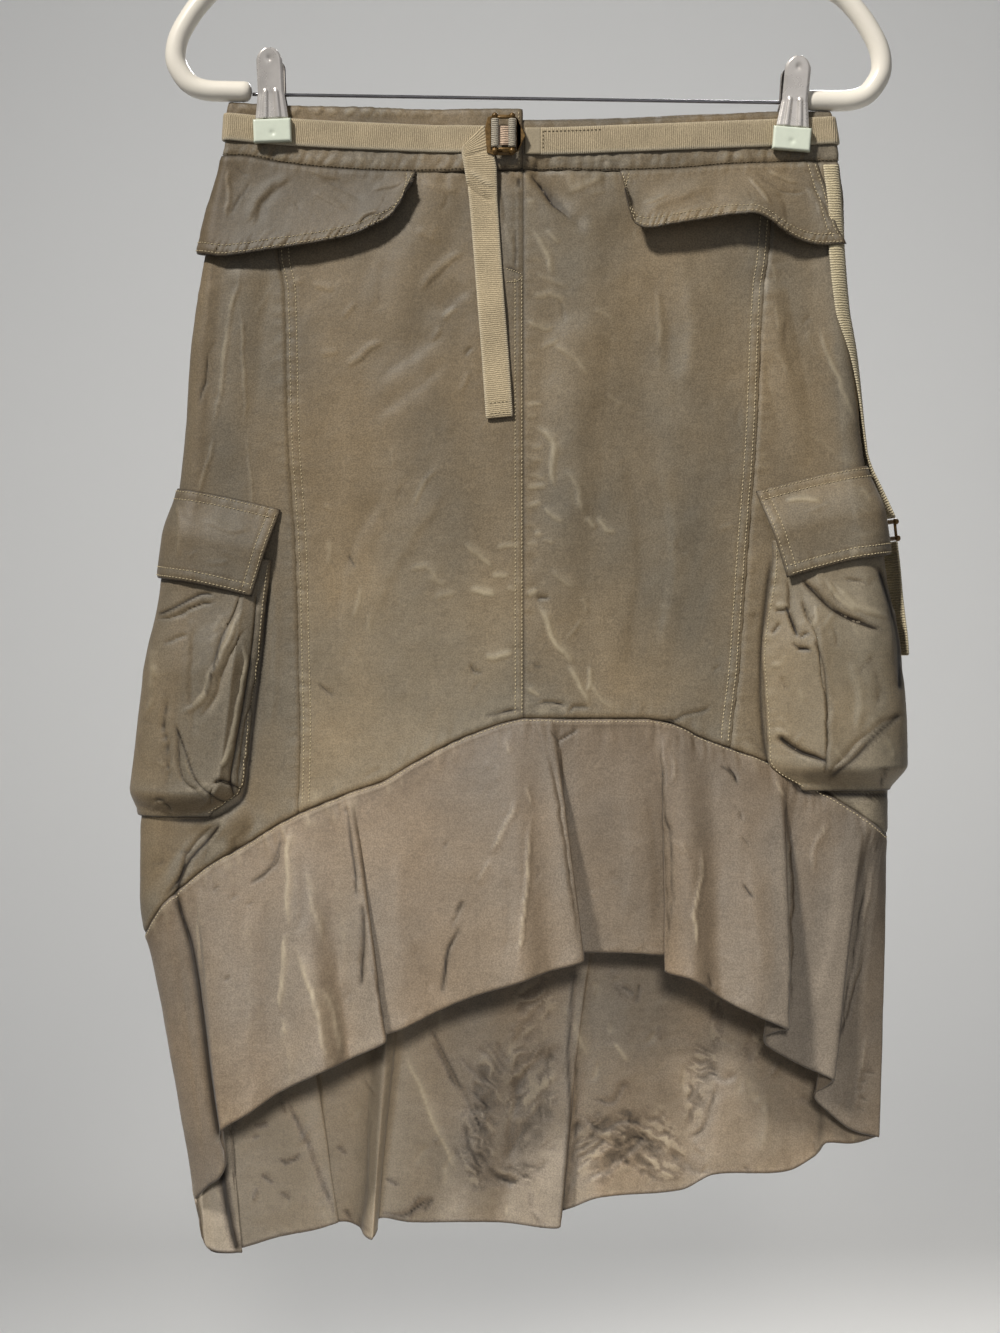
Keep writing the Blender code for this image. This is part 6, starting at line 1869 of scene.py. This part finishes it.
# ---------------------------------------------------------------- flounce
def flounce_lines(folds, spacing):
    """Fold lines through the table: seam stations and hem points."""
    front = folds is FRONT_FOLDS
    stations, hems = [], []
    for fold in folds:
        if abs(fold.seam_x) == SIDE_RIGHT:
            nudge = FLOUNCE_SEAM / 2 / (math.pi * BODY[-1].edge)
            station = math.copysign(1.5 - nudge, fold.seam_x)
        else:
            seam_drop = (HEM_FRONT_AT if front else HEM_BACK_AT)(fold.seam_x)
            station = float(station_of_x(seam_drop, fold.seam_x))
        stations.append(station if front else 3 - station)
        hems.append((fold.x, fold.depth, WAIST_Z - fold.drop))
    hems = np.array(hems, float)
    before, after = np.concatenate([hems[:1], hems[:-1]]), np.concatenate([hems[1:], hems[-1:]])
    lengths = np.linalg.norm(hems - before, axis=1) + np.linalg.norm(after - hems, axis=1)
    heads = (after - before) / np.maximum(lengths, 1e-6)[:, None]
    s, points = [], []
    for i in range(len(hems) - 1):
        length = float(np.linalg.norm(hems[i + 1] - hems[i]))
        for t in np.arange(0, 1, 1 / max(2, round(length / spacing))):
            near = hems[i] * (1 + 2 * t) + heads[i] * length * t
            far = hems[i + 1] * (3 - 2 * t) + heads[i + 1] * length * (t - 1)
            points.append(near * (1 - t) ** 2 + far * t * t)
            s.append(lerp(stations[i], stations[i + 1], t))
    return np.array(s + stations[-1:]), np.array(points + [hems[-1]])


def build_flounces():
    for name, folds in (("flounce_front", FRONT_FOLDS), ("flounce_back", BACK_FOLDS)):
        front = folds is FRONT_FOLDS
        stations, hems = flounce_lines(folds, 1.6 if front else 1.8)
        drop = np.full(stations.shape, 450.0)
        for _ in range(12):
            drop = flounce_seam(ring(drop, stations)[..., 0], stations)
        tops = surface(drop + FLOUNCE_SEAM / 2, stations)
        v = np.linspace(0, 1, 131)[:, None]
        grid = lerp(tops, hems, v[..., None] ** FLOUNCE_SPREAD)
        grid[..., 2] = lerp(tops[:, 2], hems[:, 2], v)
        grid[..., 1] += (-1 if front else 1) * FLOUNCE_BELLY * np.sin(math.pi * v ** 0.8)
        cloth = Cloth(grid, CLOTH, 1.0 if front else 0.0)
        crinkle(cloth, 0.75 if front else 1.25, 81.0 if front else 93.0)
        scatter(cloth, 36 if front else 130, 61, 0.25, strength=1.0 if front else 1.7)
        seam(cloth, "top", (1.7,), roll=0.9, pucker=0.7, pitch=6, width=9, seed=2)
        seam(cloth, "bottom", roll=0.2, pucker=0.3, pitch=7, width=4, seed=5)
        strength, relief = (0.75, 0.75) if front else (1.0, 0.4)
        crease(cloth, creases_of(name), strength=strength, relief=relief)
        if not front:
            hatch(cloth)
        gaps(cloth, name)
        x = cloth.seen()[0]
        # Painted light and shade: the front flounce grows darker to the right, the inside of the back
        # one lighter, most to the left.
        cloth.pale += -0.11 * ease((x + 110) / 60) if front else 0.05 + 0.09 * ease((-30 - x) / 60)
        # A raised cord under the seam, with a painted highlight along it.
        cloth.lift(0.5 * bell(cloth.top - 2.0, 1.4), 0.1 * bell(cloth.top - 2.0, 1.2))
        stitch_edge(STITCHES, cloth, "top", (2.0,), (2, 2))
        cloth_piece(name, cloth, FLOUNCE)


# ---------------------------------------------------------------- side straps
def build_side_straps():
    for name, rows in STRAP.items():
        side = side_of(name)
        middle, stand = (smooth_table(rows, "drop", column) for column in ("round", "out"))
        first, last = rows[0].drop, rows[-1].drop

        def strip(drops, out, part):
            """Webbing down the side, no wider than it is woven where the body turns away."""
            t = np.linspace(-1, 1, 15)[None, :]
            drop = drops[:, None] + 0 * t
            distance = middle(np.minimum(drop, last)) + t * WEBBING_WIDTH / 2 * part
            grid = laid(side, drop, distance, out[:, None])[0]
            held = grid[:, :1] if grid[:, 0, 1].mean() < grid[:, -1, 1].mean() else grid[:, -1:]
            width = np.linalg.norm(np.diff(grid, axis=1), axis=-1).sum(axis=1)[:, None, None]
            return Cloth(held + (grid - held) * np.minimum(1.0, WEBBING_WIDTH * 1.1 / width), WEBBING)

        drops = np.linspace(first, last, 130)
        strap = strip(drops, stand(drops), 1.0)
        edges = side_edges(strap)
        strap.lift(0.3 - 0.25 * edges, 0.22 * edges)
        webbing_piece("side_strap_" + name, strap, STRAP_CLOTH)

        out = rows[-1].out
        station = station_round(last, side, middle(last))
        here, way, back, low, high = (
            Vector(surface(last + d, station + s, out))
            for d, s in ((0, 0), (0, 0.01), (0, -0.01), (5, 0), (-5, 0))
        )
        across, down = (way - back).normalized(), (low - high).normalized()
        outward = down.cross(across).normalized()
        turn = Matrix.Identity(4)
        for i, axis in enumerate((down, -outward, across)):
            turn.col[i][:3] = axis
        centre = here + down * (POST_SPACING / 2 + POST_RADIUS + SLIDER_GAP)
        centre += outward * (WEBBING / 2 + SLIDER_STAND)
        node = "side_slider_" + name
        at = Matrix.Translation(centre) @ turn
        piece(node + "_brass", node, BRASS, "antique_brass", ladder_solid, at)

        start = last + POST_SPACING + 2 * (POST_RADIUS + SLIDER_GAP)
        t = np.linspace(0, 1, 56)
        tail = strip(start + TAIL_LENGTH[name] * t, out + TAIL_STAND * ease(t), TAIL_WIDTH)
        edges = side_edges(tail)
        tail.lift(-0.2 * edges + 0.5 * rough(tail.points, (20, 20, 22), 3), 0.2 * edges)
        webbing_piece("side_strap_tail_" + name, tail, STRAP_CLOTH)


# ---------------------------------------------------------------- hanger and clips
HANG = (
    Matrix.Translation((0, 0, BAR_Z)) @ Matrix.Rotation(HANGER_TILT, 4, "Y")
    @ Matrix.Translation((0, 0, -BAR_Z))
)


def tube_solid(work, path, radius, matrix, sides=28, cap=0.0):
    """A round rod along a path in the XZ plane, its ends rounded over the length cap."""
    walked = distances(path)
    side = np.array((0.0, 1.0, 0.0))
    rings = []
    for point, way, start in zip(path, unit(np.gradient(path, axis=0)), walked):
        near = min(start, walked[-1] - start)
        size = radius
        if near < cap:
            size *= math.sqrt(max(0.02, 1 - (1 - near / cap) ** 2))
        rings.append(circle(work, matrix, point, size, side, np.cross(way, side), sides))
    skin(work, rings)


def build_hanger():
    low = BAR_Z + TUBE_RISE
    outline = (
        (TUBE_END_X, low), (187, low), (201, low + 0.6), (211, low + 4.5), (218.2, low + 14),
        (220.2, -205), (218.2, -194), (212, -182), (204, -171), (194, -161.5), (176, -152),
        (150, -141), (110, -125), (70, -109), (36, -94), (14, -84), (0, NECK_Z),
    )
    left, right = ([(side * x, 0, z) for x, z in outline] for side in (-1, 1))
    path = through(left + right[-2::-1], 2.5)
    # Closer points near the two ends, where the tube is rounded.
    steps = np.array((0.02, 0.1, 0.25, 0.5))[:, None]
    ends = [path[a] + (path[b] - path[a]) * steps for a, b in ((0, 1), (-1, -2))]
    path = np.concatenate([path[:1], ends[0][1:], path[1:-1], ends[1][:0:-1], path[-1:]])
    piece(
        "hanger_tube", "hanger_body", PLASTIC, "hanger_plastic",
        tube_solid, path, HANGER_TUBE_RADIUS, HANG, 28, 4.0,
    )
    reach = TUBE_END_X - SEAM
    bar = np.stack([np.linspace(-reach, reach, 90), np.zeros(90), np.full(90, BAR_Z)], -1)
    piece(
        "hanger_bar_wire", "hanger_bar", BAR_STEEL, "clip_steel", tube_solid, bar, BAR_RADIUS, HANG, 16,
    )
    radius = HOOK_RADIUS + HOOK_WIRE_RADIUS
    bend = [math.radians(angle) for angle in range(200, -61, -20)]
    points = [(radius * math.cos(a), 0, -HOOK_RADIUS + radius * math.sin(a)) for a in bend]
    neck_x = math.sin(HANGER_TILT) * (NECK_Z - BAR_Z)
    points += [(6.5, 0, -49), (neck_x, 0, -57), (neck_x, 0, NECK_Z + HANGER_TUBE_RADIUS + SEAM)]
    piece(
        "hanger_hook_wire", "hanger_hook", STEEL, "clip_steel",
        tube_solid, through(points, 1.6), HOOK_WIRE_RADIUS, Matrix.Identity(4), 20, 1.6,
    )


Level = namedtuple("Level", "z width out")
JAW = table(
    Level, (-10.5, 19.5, 8.2), (4, 15.6, 8.2), (6, 15, 8.4), (22, 15, 10.7), (31.5, 15, 12.2),
)
JAW_TOP, JAW_ROUNDING = 31.5, 7.4
SPRING_LENGTH, SPRING_RADIUS, SPRING_WIRE_RADIUS = 9.0, 3.2, 0.7
RIB_OFFSET, RIB_HEIGHT, RIB_WIDTH = 0.42, 1.3, 0.13
DIMPLE_Z, DIMPLE_RADIUS = 25.5, 1.7
PAD_INNER, PAD_WIDTH, PAD_THICKNESS, PAD_HEIGHT, PAD_TOP, PAD_RIM = 5.9, 23.5, 4.6, 14.5, -11.2, 1.4


def jaw_grid(matrix):
    """A jaw's inner face: two ribs below, a dimple above and a rounded top."""
    width_at, out_at = (smooth_table(JAW, "z", column) for column in ("width", "out"))
    shoulder = JAW_TOP - JAW_ROUNDING
    z = np.concatenate([
        JAW_TOP - np.linspace(0, 1, 14)[:-1] ** 2 * JAW_ROUNDING, np.linspace(shoulder, JAW[0].z, 64),
    ])[:, None]
    t = np.linspace(-1, 1, 49)[None, :]
    above = np.clip((z - shoulder) / JAW_ROUNDING, 0, 1)
    x = t * width_at(z) / 2 * np.sqrt(np.clip(1 - above ** 2, 0.03, 1))
    rib = RIB_HEIGHT * bell(np.abs(t) - RIB_OFFSET, RIB_WIDTH) * ease((8 - z) / 3)
    dimple = 0.8 * bell(np.hypot(x, z - DIMPLE_Z), DIMPLE_RADIUS)
    edge = 0.9 * ease((np.abs(t) - 0.8) / 0.2)
    grid = np.stack([x, -(out_at(z) + rib - dimple - edge), z + 0 * t], -1)
    turn = np.array(matrix)
    return grid @ turn[:3, :3].T + turn[:3, 3]


def pad_solid(work, matrix):
    """A rounded pad with a small dimple low on its face."""
    half_w, half_h = PAD_WIDTH / 2, PAD_HEIGHT / 2
    rows, cols = 24, 36

    def spread(count):
        """Numbers from -1 to 1, closer together near both."""
        t = np.linspace(-1, 1, count)
        return 0.55 * t + 0.45 * np.sin(t * math.pi / 2)

    def rounding(t, half):
        """1 over the face, down to 0 at its rim."""
        inside = np.clip((half - np.abs(t)) / PAD_RIM, 0, 1)
        return np.sqrt(np.clip(1 - (1 - inside) ** 2, 0, 1))

    x, z = np.meshgrid(half_w * spread(cols), -half_h * spread(rows))
    soft = rounding(x, half_w) * rounding(z, half_h)
    face = -PAD_INNER - PAD_THICKNESS + (1 - soft) * PAD_RIM + 0.7 * bell(np.hypot(x, z + 1.8), 1.5)
    layers = [
        [
            [work.verts.new(matrix @ Vector(point)) for point in row]
            for row in np.stack([x, y, PAD_TOP - half_h + z], -1)
        ]
        for y in (face, np.full_like(face, -PAD_INNER))
    ]
    for layer in layers:
        for near, far in zip(layer, layer[1:]):
            for j in range(cols - 1):
                work.faces.new((near[j], far[j], far[j + 1], near[j + 1]))
    front, back = (
        layer[0] + [row[-1] for row in layer[1:]] + layer[-1][-2::-1]
        + [row[0] for row in layer[-2:0:-1]]
        for layer in layers
    )
    join(work, front, back)


def spring_solid(work, matrix):
    """A coil along X."""
    turns, steps = 5, 24
    angle = np.arange(turns * steps + 1) * 2 * math.pi / steps
    along = angle / angle[-1] * SPRING_LENGTH - SPRING_LENGTH / 2
    coil = np.stack([along, SPRING_RADIUS * np.cos(angle), SPRING_RADIUS * np.sin(angle)], -1)
    rings = []
    for point, way in zip(coil, unit(np.gradient(coil, axis=0))):
        u = unit(np.cross(way, (1.0, 0.0, 0.0)))
        rings.append(circle(work, matrix, point, SPRING_WIRE_RADIUS, u, np.cross(way, u), 8))
    skin(work, rings)


def build_clips():
    for name in CLIP_X:
        middle = HANG @ Matrix.Translation((CLIP_X[name], 0, BAR_Z))
        base = middle @ Matrix.Rotation(CLIP_LEAN[name], 4, "Y") @ Matrix.Translation((0, 0, -CLIP_DROP))
        for face, turn, steel in (("front", 0.0, STEEL), ("back", math.pi, DARK_STEEL)):
            at = base @ Matrix.Rotation(turn, 4, "Z")
            jaw, pad = (f"clip_{name}_{kind}_{face}" for kind in ("jaw", "pad"))
            shell(jaw + "_steel", Cloth(jaw_grid(at), 1.0), steel, jaw)
            piece(pad + "_rubber", pad, PAD, "clip_pad", pad_solid, at)
        spring = f"clip_{name}_spring"
        piece(spring + "_coil", spring, DARK_STEEL, "clip_steel", spring_solid, middle)


build_waistband()
build_belt()
build_belt_tail()
build_buckle()
build_panels()
build_hip_flaps()
build_cargo_bags()
build_cargo_flaps()
build_flounces()
build_side_straps()
build_hanger()
build_clips()
STITCHES.piece("stitching", THREAD, "shell_cloth")
DARK_STITCHES.piece("belt_stitching", DARK_THREAD, "belt_webbing")


# ---------------------------------------------------------------- light, camera, floor
def stage():
    # The wall stands further away than a camera that goes round behind the object.
    floor_z, wall_y, wall_top, radius, half_width = -1.45, 2.6, 3.0, 0.7, 5.0
    profile = [(-4.0, floor_z), (wall_y - radius, floor_z)]
    for i in range(1, 13):
        angle = math.pi / 2 * i / 12
        y, z = radius * math.sin(angle), radius * (1 - math.cos(angle))
        profile.append((wall_y - radius + y, floor_z + z))
    profile.append((wall_y, wall_top))
    verts = [(x, y, z) for y, z in profile for x in (-half_width, half_width)]
    faces = [(2 * i, 2 * i + 1, 2 * i + 3, 2 * i + 2) for i in range(len(profile) - 1)]
    mesh = bpy.data.meshes.new("backdrop")
    mesh.from_pydata(verts, [], faces)
    for polygon in mesh.polygons:
        polygon.use_smooth = True
    mesh.materials.append(plain("pale_paper", srgb(226, 225, 222), 0.9))
    put("backdrop", mesh)


def aimed(obj, place, target):
    obj.location = place
    obj.rotation_euler = (Vector(target) - Vector(place)).to_track_quat("-Z", "Y").to_euler()


def light(name, size, energy, place, target, colour=(1, 1, 1)):
    data = bpy.data.lights.new(name, "AREA")
    data.shape = "DISK"
    data.size = size
    data.energy = energy
    data.color = colour
    obj = put(name, data)
    obj.visible_camera = False
    aimed(obj, place, target)


def spot(name, radius, energy, place, target, cone, colour):
    """A light that fades away from the point it is aimed at."""
    data = bpy.data.lights.new(name, "SPOT")
    data.shadow_soft_size = radius
    data.energy = energy
    data.color = colour
    data.spot_size = math.radians(cone)
    data.spot_blend = 1.0
    aimed(put(name, data), place, target)


def camera():
    data = bpy.data.cameras.new("camera")
    data.sensor_width = SENSOR
    data.lens = SENSOR * VIEW_DISTANCE / VIEW_HEIGHT
    obj = put("camera", data)
    obj.location = Vector((VIEW_X, VIEW_PLANE_Y - VIEW_DISTANCE, VIEW_Z)) * MM
    obj.rotation_euler = (math.pi / 2, 0, 0)
    bpy.context.scene.camera = obj


stage()
camera()
MIDDLE = (0.0, 0.0, -0.6)
bpy.context.scene.cycles.caustics_reflective = False
spot("key", 0.32, 1330, (-2.3, -3.0, 3.1), (0.34, 0.0, -0.7), 21, (1.0, 0.97, 0.93))
spot("low_fill", 0.13, 185, (0.0, -2.3, -0.1), (-0.04, 0, -1.07), 24, (1.0, 0.97, 0.93))
light("fill", 2.6, 6, (0.8, -3.0, 0.3), MIDDLE, (0.97, 0.97, 1.0))
spot("back_fill", 0.3, 90, (0.5, 1.7, 0.9), (0.0, 0.0, -0.75), 52, (0.97, 0.97, 1.0))
light("backdrop_wash", 3.0, 32, (0.0, 0.6, -0.3), (0.0, 5.0, -0.3))

world = bpy.data.worlds.new("studio")
world.use_nodes = True
set_inputs(world.node_tree.nodes["Background"], Color=(0.93, 0.95, 1.0, 1), Strength=0.15)
bpy.context.scene.world = world
bpy.context.scene.view_settings.view_transform = "Standard"
